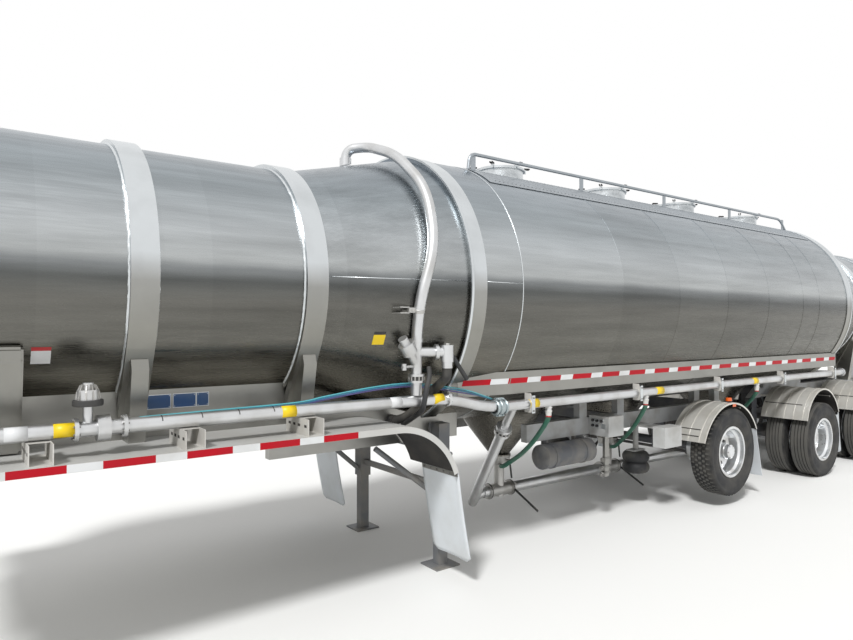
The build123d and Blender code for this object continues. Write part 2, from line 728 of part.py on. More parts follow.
def rim(x, z, y, way):
    """One disc wheel centred on y, with its disc on the side that way gives."""
    half = rim_w / 2
    seat = tyre_bead_r
    offsets = ((half, rim_flange_r), (half - rim_t, rim_flange_r), (half - rim_t, seat), (70, seat - 4),
               (45, seat - 24), (-45, seat - 24), (-70, seat - 4), (rim_t - half, seat),
               (rim_t - half, rim_flange_r), (-half, rim_flange_r), (-half, seat - 11), (-75, seat - 15),
               (-50, seat - 35), (50, seat - 35), (75, seat - 15), (half, seat - 11))
    disc = ((rim_offset, hub_r - 30), (rim_offset, 165), (150, 205), (118, 236), (80, seat - 10),
            (56, seat - 24), (100, 222), (128, 188), (rim_offset - disc_t, 158), (rim_offset - disc_t, hub_r - 30))
    for outline in (offsets, disc):
        with BuildSketch(wheel_plane(x, z)) as section:
            with BuildLine():
                Polyline(*[(y + way * off, r) for off, r in outline], close=True)
            make_face()
        revolve(section.sketch, axis=Axis((x, 0, z), (0, 1, 0)))


def hub(x, z, outline):
    """Hub and brake drum turned about the axle, from (y, radius) points."""
    with BuildSketch(wheel_plane(x, z)) as section:
        with BuildLine():
            Polyline(*outline, close=True)
        make_face()
    revolve(section.sketch, axis=Axis((x, 0, z), (0, 1, 0)))


def hand_hole_ring(x, z, y0, y1):
    """Cuts the ring of round hand holes."""
    for i in range(hand_holes):
        turn = math.tau * (i + 0.5) / hand_holes
        px, pz = x + hand_hole_pcr * math.cos(turn), z + hand_hole_pcr * math.sin(turn)
        rod((px, y0, pz), (px, y1, pz), hand_hole_r, mode=Mode.SUBTRACT)


# Twin wheels of the three fixed axles
bore_r = spindle_r + spindle_gap
drum_y0 = 615.0
for number, x in enumerate(tridem_x, start=2):
    for side, letter in ((1, "l"), (-1, "r")):
        outer_y = dual_mid_y + rim_offset
        inner_y = dual_mid_y - rim_offset
        with BuildPart() as tyres:
            for y in (outer_y, inner_y):
                tyre(x, tyre_r, side * y)
        finish(tyres, "tyres_" + str(number) + letter)
        with BuildPart() as wheels:
            rim(x, tyre_r, side * outer_y, -side)
            rim(x, tyre_r, side * inner_y, side)
            hand_hole_ring(x, tyre_r, side * (dual_mid_y - 80), side * (dual_mid_y + 80))
            hub(x, tyre_r, [(side * y, r) for y, r in (
                (drum_y0, bore_r), (drum_y0, drum_r), (drum_y0 + drum_w, drum_r), (drum_y0 + drum_w, 190),
                (drum_y0 + drum_w + 40, 130), (dual_mid_y - disc_t, 160), (dual_mid_y - disc_t + 4, hub_r),
                (dual_mid_y + disc_t + 60, 96), (dual_mid_y + disc_t + 120, 92),
                (dual_mid_y + disc_t + 120, hub_cap_r), (dual_mid_y + disc_t + 165, hub_cap_r - 8),
                (dual_mid_y + disc_t + 165, 0), (dual_mid_y + 30, 0), (dual_mid_y + 30, bore_r))])
        finish(wheels, "wheels_" + str(number) + letter)

# Single wheels of the steered axle, with the dish outwards
for side, letter in ((1, "l"), (-1, "r")):
    with BuildPart() as steer_tyre:
        tyre(steer_x, steer_z, side * steer_y)
    finish(steer_tyre, "tyre_1" + letter)
    with BuildPart() as steer_wheel:
        rim(steer_x, steer_z, side * steer_y, -side)
        hand_hole_ring(steer_x, steer_z, side * (steer_face_y - 5), side * (steer_face_y + 90))
        hub(steer_x, steer_z, [(side * y, r) for y, r in (
            (steer_drum_y, bore_r), (steer_drum_y, drum_r - 8), (steer_face_y - 9, drum_r - 8),
            (steer_face_y - 9, 160), (steer_face_y + 4, 160), (steer_face_y + 4, hub_r),
            (steer_face_y + 80, 100), (steer_cap_y - 60, 92), (steer_cap_y - 60, hub_cap_r),
            (steer_cap_y - 8, hub_cap_r), (steer_cap_y, hub_cap_r - 12), (steer_cap_y, 0),
            (steer_bore_end, 0), (steer_bore_end, bore_r))])
    finish(steer_wheel, "wheel_1" + letter)

# Steered axle: beam, kingpin bosses and the trailing arms that carry it, with their pivot pins
steer_pivot_z = steer_z + steer_arm_lift + arm_h / 2
with BuildPart() as steer_axle:
    rod((steer_x, -kingpin_y, steer_z), (steer_x, kingpin_y, steer_z), 55)
    for side in (1, -1):
        y = side * kingpin_y
        rod((steer_x, y, steer_z - knuckle_half), (steer_x, y, steer_z + knuckle_half), 48)
        rod((steer_x, y, steer_z - 200), (steer_x, y, steer_z + 200), steer_pin_r + spindle_gap,
            mode=Mode.SUBTRACT)
        y0, y1 = side * (steer_rail_y - arm_w / 2 + 3), side * (steer_rail_y + arm_w / 2 - 3)
        block(steer_x - bag_back - 110, steer_x + steer_hanger_ahead, y0, y1, steer_z + steer_arm_lift,
              steer_z + steer_arm_lift + arm_h)
        rod((steer_x + steer_hanger_ahead, y0, steer_pivot_z), (steer_x + steer_hanger_ahead, y1, steer_pivot_z),
            arm_h / 2)
        rod((steer_x + steer_hanger_ahead, side * (steer_rail_y - 47), steer_pivot_z),
            (steer_x + steer_hanger_ahead, side * (steer_rail_y + 47), steer_pivot_z), arm_pin_r)
finish(steer_axle, "steer_axle")

# Knuckles: a fork round the boss with its pin and spindle, and the steering arm with its ball pin
for side, letter in ((1, "l"), (-1, "r")):
    with BuildPart() as knuckle:
        y = side * kingpin_y
        for low, high in ((-steer_pin_half, -knuckle_half - 5), (knuckle_half + 5, steer_pin_half)):
            rod((steer_x, y, steer_z + low), (steer_x, y, steer_z + high), 50)
            block(steer_x - 50, steer_x + 50, y, side * (kingpin_y + 73), steer_z + low, steer_z + high)
        block(steer_x - 60, steer_x + 60, side * (kingpin_y + 53), side * (kingpin_y + 73),
              steer_z - steer_pin_half, steer_z + steer_pin_half)
        rod((steer_x, y, steer_z - steer_pin_half), (steer_x, y, steer_z + steer_pin_half), steer_pin_r)
        rod((steer_x, side * (kingpin_y + 70), steer_z), (steer_x, side * (steer_bore_end - 10), steer_z), spindle_r)
        ball = (steer_x + arm_x, side * (kingpin_y - arm_y))
        with BuildSketch(Plane.XY.offset(steer_z - steer_pin_half)) as arm:
            with BuildLine():
                Polyline((steer_x - 20, side * (kingpin_y + 40)), (steer_x + 20, side * (kingpin_y - 30)),
                         (ball[0] + 4, ball[1] - side * 22), (ball[0] - 4, ball[1] + side * 22), close=True)
            make_face()
            with Locations(ball):
                Circle(26)
        extrude(arm.sketch, amount=30)
        rod((ball[0], ball[1], steer_z - steer_pin_half - 62), (ball[0], ball[1], steer_z - steer_pin_half + 1),
            ball_pin_r)
    finish(knuckle, "knuckle_" + letter)

# Tie rod between the two steering arms
tie_z = steer_z - steer_pin_half - 35
with BuildPart() as tie_rod:
    reach = kingpin_y - arm_y
    rod((steer_x + arm_x, -reach, tie_z), (steer_x + arm_x, reach, tie_z), tie_rod_r)
    for side, gap in ((1, spindle_gap), (-1, 2.0)):
        y = side * reach
        rod((steer_x + arm_x, y, tie_z - 24), (steer_x + arm_x, y, tie_z + 24), 32)
        rod((steer_x + arm_x, y, tie_z - 60), (steer_x + arm_x, y, tie_z + 60), ball_pin_r + gap,
            mode=Mode.SUBTRACT)
finish(tie_rod, "tie_rod")

# Tridem axles: beams with spindles, brake chambers, and the trailing arms with their pivot pins
pivot_z = tyre_r + axle_r + arm_h / 2
with BuildPart() as tridem_axles:
    for x in tridem_x:
        rod((x, -604, tyre_r), (x, 604, tyre_r), axle_r)
        for side in (1, -1):
            rod((x, side * 600, tyre_r), (x, side * (dual_mid_y + 20), tyre_r), spindle_r)
            rod((x - 50, side * 300, tyre_r), (x - 150, side * 300, tyre_r), 24)
            rod((x - 140, side * 300, tyre_r), (x - 300, side * 300, tyre_r), 82)
            y0, y1 = side * (frame_rail_y - arm_w / 2), side * (frame_rail_y + arm_w / 2)
            block(x - bag_back - 110, x + hanger_ahead, y0, y1, tyre_r + axle_r - 12, tyre_r + axle_r + arm_h)
            rod((x + hanger_ahead, y0, pivot_z), (x + hanger_ahead, y1, pivot_z), arm_h / 2)
            rod((x + hanger_ahead, side * (frame_rail_y - 50), pivot_z),
                (x + hanger_ahead, side * (frame_rail_y + 50), pivot_z), arm_pin_r)
            block(x - bag_back - 100, x - bag_back + 100, side * (frame_rail_y - 90), side * (frame_rail_y + 90),
                  tyre_r + axle_r + arm_h - 12, tyre_r + axle_r + arm_h)
finish(tridem_axles, "tridem_axles")

# Air springs between the arms and the rails, and the two-lobed springs that lift the steered axle
with BuildPart() as air_springs:
    springs = [(x - bag_back, frame_rail_y, tyre_r + axle_r + arm_h, frame_rail_z0, bag_r) for x in tridem_x]
    springs.append((steer_x - bag_back, steer_rail_y, steer_z + steer_arm_lift + arm_h, steer_rail_z0, bag_r - 12))
    for x, y, low, high, r in springs:
        for side in (1, -1):
            low_z, high_z = low + seat_gap, high - seat_gap
            lobe = min((high_z - low_z) * 0.5, 230)
            with BuildSketch(Plane.XZ.offset(-side * y)) as section:
                with BuildLine():
                    Polyline((x, high_z), (x, low_z), (x + r * 0.62, low_z), (x + r * 0.7, high_z - lobe - 10))
                    ThreePointArc((x + r * 0.7, high_z - lobe - 10), (x + r, high_z - lobe * 0.5),
                                  (x + r * 0.8, high_z))
                    Line((x + r * 0.8, high_z), (x, high_z))
                make_face()
            revolve(section.sketch, axis=Axis((x, side * y, 0), (0, 0, 1)))
    for side in (1, -1):
        quarter = (lift_bag_z1 - lift_bag_z0) / 4
        neck, waist = lift_bag_x + lift_bag_r * 0.62, lift_bag_x + lift_bag_r * 0.8
        with BuildSketch(Plane.XZ.offset(-side * steer_rail_y)) as section:
            with BuildLine():
                Polyline((neck, lift_bag_z0), (lift_bag_x, lift_bag_z0), (lift_bag_x, lift_bag_z1),
                         (neck, lift_bag_z1))
                ThreePointArc((neck, lift_bag_z1), (lift_bag_x + lift_bag_r, lift_bag_z0 + 3 * quarter),
                              (waist, lift_bag_z0 + 2 * quarter))
                ThreePointArc((waist, lift_bag_z0 + 2 * quarter), (lift_bag_x + lift_bag_r, lift_bag_z0 + quarter),
                              (neck, lift_bag_z0))
            make_face()
        revolve(section.sketch, axis=Axis((lift_bag_x, side * steer_rail_y, 0), (0, 0, 1)))
finish(air_springs, "air_springs")

# Rear subframe: two rails with their top packers, and the side plates with the pads of the hoops
with BuildPart() as rear_subframe:
    for side in (1, -1):
        y0, y1 = side * (frame_rail_y - frame_rail_w / 2), side * (frame_rail_y + frame_rail_w / 2)
        with BuildSketch(Plane.XZ.offset(-y0)) as rail:
            with BuildLine():
                Polyline((frame_rear_x, frame_rail_z0), (frame_front_x, frame_rail_z0),
                         (frame_front_x - frame_nose, pad_z0 - seat_gap), (frame_rear_x, pad_z0 - seat_gap),
                         close=True)
            make_face()
        extrude(rail.sketch, amount=-side * frame_rail_w)
        block(main_rear_x, frame_front_x - frame_nose - 150, y0, y1, pad_z0, frame_rail_z1 + 100)
        side0, side1 = side * (side_plate_y - side_plate_t), side * side_plate_y
        block(rear_head_x, rear_hoop_x[0] + 110, side0, side1, frame_rail_z1 + seat_gap, tank_z - small_r + 300)
        block(rear_head_x - 50, rear_hoop_x[0] + 110, y0, side1, pad_z0, frame_rail_z1)
        for x in rear_hoop_x:
            block(x - 110, x + 110, side1 + side * seat_gap, side * (gusset_foot_y + 10), pad_z0, frame_rail_z1)
    clear_tank()
finish(rear_subframe, "rear_subframe")

# Subframe of the steered axle: rails, posts up to the barrel, and the plates that the lifting springs hang from
with BuildPart() as steer_subframe:
    for side in (1, -1):
        steer0 = side * (steer_rail_y - steer_rail_w / 2)
        steer1 = side * (steer_rail_y + steer_rail_w / 2)
        block(steer_rail_rear_x, steer_rail_front_x, steer0, steer1, steer_rail_z0, steer_rail_z1)
        for x in steer_post_x:
            block(x - 60, x + 60, steer0, steer1, steer_rail_z1 + seat_gap, steer_rail_z1 + 300)
        block(lift_bag_x - 105, lift_bag_x + 105, side * (steer_rail_y - 60), side * (steer_rail_y + 60),
              lift_bag_z1 + seat_gap, lift_plate_top)
        rod((lift_bag_x, side * steer_rail_y, lift_plate_top + seat_gap),
            (lift_bag_x, side * steer_rail_y, steer_rail_z0 - seat_gap), 32)
    clear_tank()
finish(steer_subframe, "steer_subframe")

# Hangers: a pair of plates under the rail for each trailing arm, bored for its pivot pin
with BuildPart() as axle_hangers:
    hanger_rows = [(x + hanger_ahead, frame_rail_y, frame_rail_w, pivot_z, frame_rail_z0) for x in tridem_x]
    hanger_rows.append((steer_x + steer_hanger_ahead, steer_rail_y, steer_rail_w, steer_pivot_z, steer_rail_z0))
    for x, y, width, low, top in hanger_rows:
        for side in (1, -1):
            y0, y1 = side * (y - width / 2), side * (y + width / 2)
            for near, far in ((y0, y0 + side * hanger_t), (y1 - side * hanger_t, y1)):
                block(x - hanger_half, x + hanger_half, near, far, low - 60, top - seat_gap)
            rod((x, y0 - side, low), (x, y1 + side, low), arm_pin_r + seat_gap, mode=Mode.SUBTRACT)
finish(axle_hangers, "axle_hangers")

# Cross members between the rails of both subframes
with BuildPart() as cross_members:
    inner = frame_rail_y - frame_rail_w / 2 - seat_gap
    for x in (-2925, -3990, -5835, frame_rear_x + 50):
        block(x - 45, x + 45, -inner, inner, frame_rail_z0 + 15, frame_rail_z1 - 20)
    inner = steer_rail_y - steer_rail_w / 2 - seat_gap
    for x in steer_cross_x:
        block(x - 40, x + 40, -inner, inner, steer_rail_z0 + 15, steer_rail_z1 - 20)
    clear_tank()
finish(cross_members, "cross_members")


def arch(x, z, outer_r, depth, y0, y1, front, rear):
    """A strip rolled to an arc about (x, z), from y0 to y1, between two turns in degrees."""
    with BuildSketch(Plane.XZ.offset(-y0)) as section:
        with BuildLine():
            outer = CenterArc((x, z), outer_r, front, rear - front)
            inner = CenterArc((x, z), outer_r - depth, front, rear - front)
            Line(outer @ 0, inner @ 0)
            Line(outer @ 1, inner @ 1)
        make_face()
    extrude(section.sketch, amount=y0 - y1)


def fender(x, z, r, side, inner_y, front, rear):
    """A fender: rolled sheet with ribs pressed into it and a thick bead along its outer edge."""
    arch(x, z, r, fender_t, side * inner_y, side * deck_half_width, front, rear)
    arch(x, z, r + 5, fender_t + 14, side * (deck_half_width - 16), side * deck_half_width, front, rear)
    ribs = round((deck_half_width - inner_y) / fender_rib_pitch)
    for i in range(ribs):
        y = inner_y + (i + 0.5) * (deck_half_width - 16 - inner_y) / ribs
        arch(x, z, r + fender_rib_h, fender_rib_h + 1, side * (y - 9), side * (y + 9), front, rear)


def flap(x, z, r, side, inner_y, rear, slant):
    """A mud flap that hangs from the rear end of a fender and leans back towards its foot."""
    turn = math.radians(rear)
    top_x, top_z = x + r * math.cos(turn), z + r * math.sin(turn)
    over_x, over_z = -math.cos(turn) * fender_t, -math.sin(turn) * fender_t
    with BuildSketch(Plane.XZ.offset(-side * (inner_y + 25))) as section:
        with BuildLine():
            Polyline((top_x - 0.2, top_z - 0.6), (top_x - slant, flap_foot_z), (top_x - slant + flap_t, flap_foot_z),
                     (top_x + over_x - 0.2, top_z + over_z - 0.6), close=True)
        make_face()
    extrude(section.sketch, amount=-side * (deck_half_width - 7 - inner_y - 25))


# Fenders over the twin wheels with their support rods
with BuildPart() as wheel_fenders:
    for x in tridem_x:
        for side in (1, -1):
            fender(x, dual_fender_z, dual_fender_r, side, dual_fender_inner_y, dual_fender_front, dual_fender_rear)
            reach = dual_fender_r - fender_t - 14
            for dx in (-320, 320):
                z = dual_fender_z + math.sqrt(reach ** 2 - dx ** 2)
                rod((x + dx, side * (frame_rail_y + frame_rail_w / 2 + seat_gap), z), (x + dx, side * 1230, z), 15)
finish(wheel_fenders, "wheel_fenders")

# Fenders of the steered wheels: each turns with its knuckle, on two bent stays, and carries its mud flap
for side, letter in ((1, "l"), (-1, "r")):
    with BuildPart() as steer_fender:
        fender(steer_x, steer_fender_z, steer_fender_r, side, fender_inner_y, steer_fender_front, steer_fender_rear)
        reach = steer_fender_r - fender_t - stay_r
        stay_z = steer_fender_z + math.sqrt(reach ** 2 - stay_dx ** 2)
        for way in (1, -1):
            pipe([(steer_x + way * 30, side * stay_y, steer_z + steer_pin_half + seat_gap),
                  (steer_x + way * 32, side * stay_y, steer_z + 235),
                  (steer_x + way * 110, side * 925, steer_z + 330),
                  (steer_x + way * (stay_dx - 10), side * 930, stay_z - 60),
                  (steer_x + way * stay_dx, side * 985, stay_z), (steer_x + way * stay_dx, side * 1225, stay_z)],
                 stay_r)
        flap(steer_x, steer_fender_z, steer_fender_r, side, steer_flap_inner_y, steer_fender_rear, 150)
    finish(steer_fender, "steer_fender_" + letter)

# Mud flaps behind the deck fenders and behind the fenders of the twin wheels
with BuildPart() as mudflaps:
    reach_x, reach_z = math.sin(roll), math.cos(roll)
    top_x, top_z = deck_rear_x - deck_fender_r * reach_x, roll_z + deck_fender_r * reach_z
    for side in (1, -1):
        with BuildSketch(Plane.XZ.offset(-side * 778)) as section:
            with BuildLine():
                Polyline((top_x - 0.2, top_z - 0.6), (deck_flap_foot_x, deck_flap_foot_z),
                         (deck_flap_foot_x + flap_t, deck_flap_foot_z), (top_x + 7.4, top_z - 3.1), close=True)
            make_face()
        extrude(section.sketch, amount=-side * (deck_half_width - 7 - 778))
        for x in tridem_x:
            flap(x, dual_fender_z, dual_fender_r, side, dual_fender_inner_y, dual_fender_rear, 85)
finish(mudflaps, "mudflaps")

# Manhole collars on the crown of the main barrel, each with a flange and two hinge ears
with BuildPart() as manhole_collars:
    low_z = tank_z + main_r - 60
    for x in manhole_x:
        rod((x, 0, low_z), (x, 0, collar_top_z), manhole_r)
        rod((x, 0, collar_top_z - collar_flange_t), (x, 0, collar_top_z), collar_flange_r)
        for off in (-58, 46):
            block(x + off, x + off + 12, lid_hinge_y - 16, -manhole_r + 10, collar_top_z - 60, collar_top_z - 1)
            block(x + off, x + off + 12, lid_hinge_y - 16, lid_hinge_y + 16, collar_top_z - 60, lid_hinge_z + 16)
        rod((x, 0, low_z - 10), (x, 0, collar_top_z + 1), manhole_r - collar_wall, mode=Mode.SUBTRACT)
        rod((x - 70, lid_hinge_y, lid_hinge_z), (x + 70, lid_hinge_y, lid_hinge_z), lid_pin_r + spindle_gap,
            mode=Mode.SUBTRACT)
    clear_barrel()
finish(manhole_collars, "manhole_collars")

# Manhole lids: domed discs with a hinge knuckle and pin, and six cam levers round the edge
for number, x in enumerate(manhole_x, start=1):
    with BuildPart() as manhole_lid:
        base = collar_top_z + seat_gap
        with BuildSketch(Plane(origin=(x, 0, 0), x_dir=(1, 0, 0), z_dir=(0, -1, 0))) as section:
            with BuildLine():
                Polyline((0, base + lid_t + lid_crown), (0, base), (lid_r, base), (lid_r, base + lid_t),
                         (lid_r - 35, base + lid_t))
                mid_r, mid_h = dome_mid(lid_r - 35, lid_crown)
                ThreePointArc((lid_r - 35, base + lid_t), (mid_r, base + lid_t + mid_h),
                              (0, base + lid_t + lid_crown))
            make_face()
        revolve(section.sketch, axis=Axis((x, 0, 0), (0, 0, 1)))
        block(x - 40, x + 40, lid_hinge_y, -lid_r + 20, base + 1, base + lid_t)
        rod((x - 40, lid_hinge_y, lid_hinge_z), (x + 40, lid_hinge_y, lid_hinge_z), lid_pin_r + 3)
        rod((x - 66, lid_hinge_y, lid_hinge_z), (x + 66, lid_hinge_y, lid_hinge_z), lid_pin_r)
        for degrees in lever_turns:
            with BuildSketch(Plane(origin=(x, 0, base + 4)).rotated((0, 0, degrees))) as lever:
                with Locations(((lid_r + 294) / 2 - 30, 0)):
                    Rectangle(294 - lid_r + 60, 26)
            extrude(lever.sketch, amount=24)
            with BuildSketch(Plane(origin=(x, 0, base - 14)).rotated((0, 0, degrees))) as hook:
                with Locations((288.5, 0)):
                    Rectangle(11, 26)
            extrude(hook.sketch, amount=30)
    finish(manhole_lid, "manhole_lid_" + str(number))

# Walkway: tread strips wrapped on the crown, and a toe rail on posts along each side
with BuildPart() as walkway:
    strip_r = main_r + seam_h + seat_gap
    with BuildSketch(Plane.YZ.offset(walk_rear_x)) as strips:
        for start in (walk_low_angle, 180 - walk_high_angle):
            with BuildLine():
                sweep_angle = walk_high_angle - walk_low_angle
                inner = CenterArc((0, tank_z), strip_r, start, sweep_angle)
                outer = CenterArc((0, tank_z), strip_r + walk_t, start, sweep_angle)
                Line(inner @ 0, outer @ 0)
                Line(inner @ 1, outer @ 1)
            make_face()
    extrude(strips.sketch, amount=walk_front_x - walk_rear_x)
    foot_z = tank_z + math.sqrt(strip_r ** 2 - toe_rail_y ** 2) + 2
    for side in (1, -1):
        y = side * toe_rail_y
        pipe([(walk_front_x - 20, y, foot_z), (post_x0, y, toe_rail_z), (walk_rear_x + 190, y, toe_rail_z),
              (walk_rear_x + 20, y, foot_z)], toe_rail_r)
        for i in range(posts):
            x = post_x0 - 40 - i * post_pitch
            block(x - 30, x + 30, y - 4, y + 4, foot_z - 1, toe_rail_z)
    tank_cut(strip_r, walk_rear_x - 200, walk_front_x + 200)
finish(walkway, "walkway")

# Tool box on its bracket, and the control box with the post that holds the hose ends, beside the steered axle
with BuildPart() as boxes:
    near_y = steer_rail_y + steer_rail_w / 2 + seat_gap
    x0, x1, y0, y1, z0, z1 = tool_box
    block(x0, x1, y0, y1, z0, z1)
    block(x0 + 25, x1 - 90, near_y, y0 + 1, steer_rail_z0 + 20, steer_rail_z0 + 40)
    block(control_box_x0, control_box_x1, near_y, control_box_y1, control_box_z0, control_box_z1)
    block(hose_post_x - 35, hose_post_x + 35, hose_post_y - 15, hose_post_y + 15, hose_post_z0, control_box_z0 + 1)
finish(boxes, "boxes")

# Air tanks: one across the tridem frame and one under the left rail of the steered axle, each on two straps
with BuildPart() as air_tank:
    rod((air_tank_x, -420, air_tank_z), (air_tank_x, 420, air_tank_z), air_tank_r)
    for y in (-330, 330):
        rod((air_tank_x, y - 20, air_tank_z), (air_tank_x, y + 20, air_tank_z), air_tank_r + 5)
        block(air_tank_x - 30, air_tank_x + 30, y - 20, y + 20, air_tank_z, frame_rail_z0 + 15 - seat_gap)
    mid_r, mid_rise = dome_mid(side_tank_r, side_tank_dome)
    top_z = side_tank_z + side_tank_r
    with BuildSketch(Plane.XZ.offset(-side_tank_y)) as section:
        with BuildLine():
            Line((side_tank_x0 - side_tank_dome, side_tank_z), (side_tank_x1 + side_tank_dome, side_tank_z))
            Line((side_tank_x0, top_z), (side_tank_x1, top_z))
            for x, way in ((side_tank_x0, -1), (side_tank_x1, 1)):
                ThreePointArc((x, top_z), (x + way * mid_rise, side_tank_z + mid_r),
                              (x + way * side_tank_dome, side_tank_z))
        make_face()
    revolve(section.sketch, axis=Axis((0, side_tank_y, side_tank_z), (1, 0, 0)))
    for x in (side_tank_x0 + 130, side_tank_x1 - 130):
        rod((x - 20, side_tank_y, side_tank_z), (x + 20, side_tank_y, side_tank_z), side_tank_r + 5)
        block(x - 20, x + 20, steer_rail_y, steer_rail_y + steer_rail_w / 2, side_tank_z + 40,
              steer_rail_z0 - seat_gap)
finish(air_tank, "air_tank")

# Rear bumper with its uprights, the lamp panel and the ladder
with BuildPart() as rear_bumper:
    block(tail_x, tail_x + 110, -bumper_half, bumper_half, bumper_z0, bumper_z0 + bumper_h)
    for side in (1, -1):
        block(tail_x + 87, tail_x + 200, side * (frame_rail_y - 45), side * (frame_rail_y + 45),
              bumper_z0 + bumper_h - 1, frame_rail_z0 - seat_gap)
    block(tail_x + 70, tail_x + 88, -panel_half, panel_half, panel_z0, panel_z0 + panel_h)
    for y in (ladder_y - ladder_half, ladder_y + ladder_half):
        rod((ladder_x, y, bumper_z0 + bumper_h - 5), (ladder_x, y, ladder_top_z), ladder_tube_r)
        stay_z = tank_z + math.sqrt((small_r + hoop_t / 2) ** 2 - y ** 2)
        rod((ladder_x, y, stay_z), (rear_hoop_x[2] - hoop_w / 2 - seat_gap, y, stay_z), 12)
    rungs = 10
    for i in range(rungs):
        z = bumper_z0 + bumper_h + 260 + i * (ladder_top_z - bumper_z0 - bumper_h - 330) / (rungs - 1)
        rod((ladder_x, ladder_y - ladder_half, z), (ladder_x, ladder_y + ladder_half, z), 13)
finish(rear_bumper, "rear_bumper")

# Lamps: two rear lamps a side on the panel
with BuildPart() as lamps:
    for side in (1, -1):
        for y in (1030, 900):
            rod((tail_x + 44, side * y, panel_z0 + panel_h / 2),
                (tail_x + 70 - seat_gap, side * y, panel_z0 + panel_h / 2), 50)
finish(lamps, "lamps")
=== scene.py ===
import json
import math
import random

import bmesh
import bpy
from mathutils import Matrix, Vector

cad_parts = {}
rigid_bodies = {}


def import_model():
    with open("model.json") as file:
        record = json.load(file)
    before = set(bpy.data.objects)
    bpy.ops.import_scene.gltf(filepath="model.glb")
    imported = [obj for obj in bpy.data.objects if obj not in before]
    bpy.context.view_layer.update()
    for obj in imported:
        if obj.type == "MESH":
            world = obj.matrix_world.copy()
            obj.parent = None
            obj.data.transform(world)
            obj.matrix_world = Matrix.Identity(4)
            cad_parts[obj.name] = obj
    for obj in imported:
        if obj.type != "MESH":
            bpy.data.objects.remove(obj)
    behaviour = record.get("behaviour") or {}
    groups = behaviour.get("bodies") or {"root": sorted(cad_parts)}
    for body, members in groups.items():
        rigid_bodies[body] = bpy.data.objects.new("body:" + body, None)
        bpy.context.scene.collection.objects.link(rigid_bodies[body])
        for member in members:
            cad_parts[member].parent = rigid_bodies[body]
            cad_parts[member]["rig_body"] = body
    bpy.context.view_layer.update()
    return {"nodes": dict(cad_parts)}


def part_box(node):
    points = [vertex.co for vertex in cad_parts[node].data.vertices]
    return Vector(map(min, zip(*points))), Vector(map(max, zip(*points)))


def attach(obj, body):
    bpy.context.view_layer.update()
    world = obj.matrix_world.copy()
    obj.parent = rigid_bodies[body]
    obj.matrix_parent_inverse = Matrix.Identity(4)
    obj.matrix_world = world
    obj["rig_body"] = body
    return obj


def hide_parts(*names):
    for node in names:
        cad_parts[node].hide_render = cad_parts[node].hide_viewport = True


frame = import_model()
nodes = frame["nodes"]
random.seed(7)
print("frame loaded:", len(nodes), "nodes")


# Small helpers

def toLinear(hexColour):
    parts = [int(hexColour[i:i + 2], 16) / 255 for i in (1, 3, 5)]
    linear = [c / 12.92 if c <= 0.04045 else ((c + 0.055) / 1.055) ** 2.4 for c in parts]
    return (*linear, 1.0)


def linkInputs(tree, node, links):
    for name, source in links.items():
        tree.links.new(source, node.inputs[name])


def addNode(tree, kind, settings=None, links=None):
    node = tree.nodes.new(kind)
    for name, value in (settings or {}).items():
        if isinstance(name, str) and hasattr(node, name):
            setattr(node, name, value)
        else:
            node.inputs[name].default_value = value
    linkInputs(tree, node, links or {})
    return node


def startMaterial(name, settings):
    material = bpy.data.materials.new(name)
    material.use_nodes = True
    tree = material.node_tree
    tree.nodes.clear()
    shader = addNode(tree, "ShaderNodeBsdfPrincipled", settings)
    addNode(tree, "ShaderNodeOutputMaterial", links={"Surface": shader.outputs[0]})
    place = addNode(tree, "ShaderNodeTexCoord").outputs["Object"]
    return material, tree, shader, place


def toneAlong(tree, measure, tones, shift=0.0):
    # colours that change with a height or a radius; each tone is (metres, colour), and shift moves them all
    low, high = tones[0][0], tones[-1][0]
    level = addNode(tree, "ShaderNodeMapRange", {"From Min": low + shift, "From Max": high + shift},
                    {"Value": measure})
    scale = addNode(tree, "ShaderNodeValToRGB", links={"Fac": level.outputs[0]})
    elements = scale.color_ramp.elements
    while len(elements) < len(tones):
        elements.new(0.5)
    for element, (stop, colour) in zip(elements, tones):
        element.position = (stop - low) / (high - low)
        element.color = toLinear(colour)
    return scale.outputs["Color"]


def perMetre(millimetres):
    # noise and wave scales count features to the metre
    return 1000 / millimetres


# Materials

# 5454 aluminium sheet as it leaves the mill, brushed along its length; its tone with height is a painted reflection:
# a darker crown of reflected sky, the palest band at the waist, a dark line of reflected skyline just under the
# widest line, and below it a warm grey painted reflection of the ground, which on the hoppers also stands as painted
# shade;
# the belly of the front barrel has a paler coat of dried spray over it; each course of sheet has a slight tone of its
# own
barrelFinishAndReflection = {"tones": ((1.20, "#74716A"), (1.80, "#6A6963"), (2.30, "#696864"), (2.44, "#5E605F"),
                          (2.52, "#838687"), (2.58, "#B3B6B6"), (2.80, "#B0B4B6"), (3.15, "#9BA2A6"),
                          (3.75, "#848D96")),
                "belly": "#78746A", "bellyTop": 2.05, "bellyFoot": 1.55, "bellyX": (2.7, 3.5),
                "streak": 130, "grain": 13, "cloud": 900, "stretch": 0.07, "wander": 0.05, "rough": 0.20,
                "roughSpread": 0.16, "courseStart": 0.45, "courseTone": (0.92, 1.04), "brushTone": (0.76, 1.20),
                "wave": 1100, "waveDepth": 0.02}


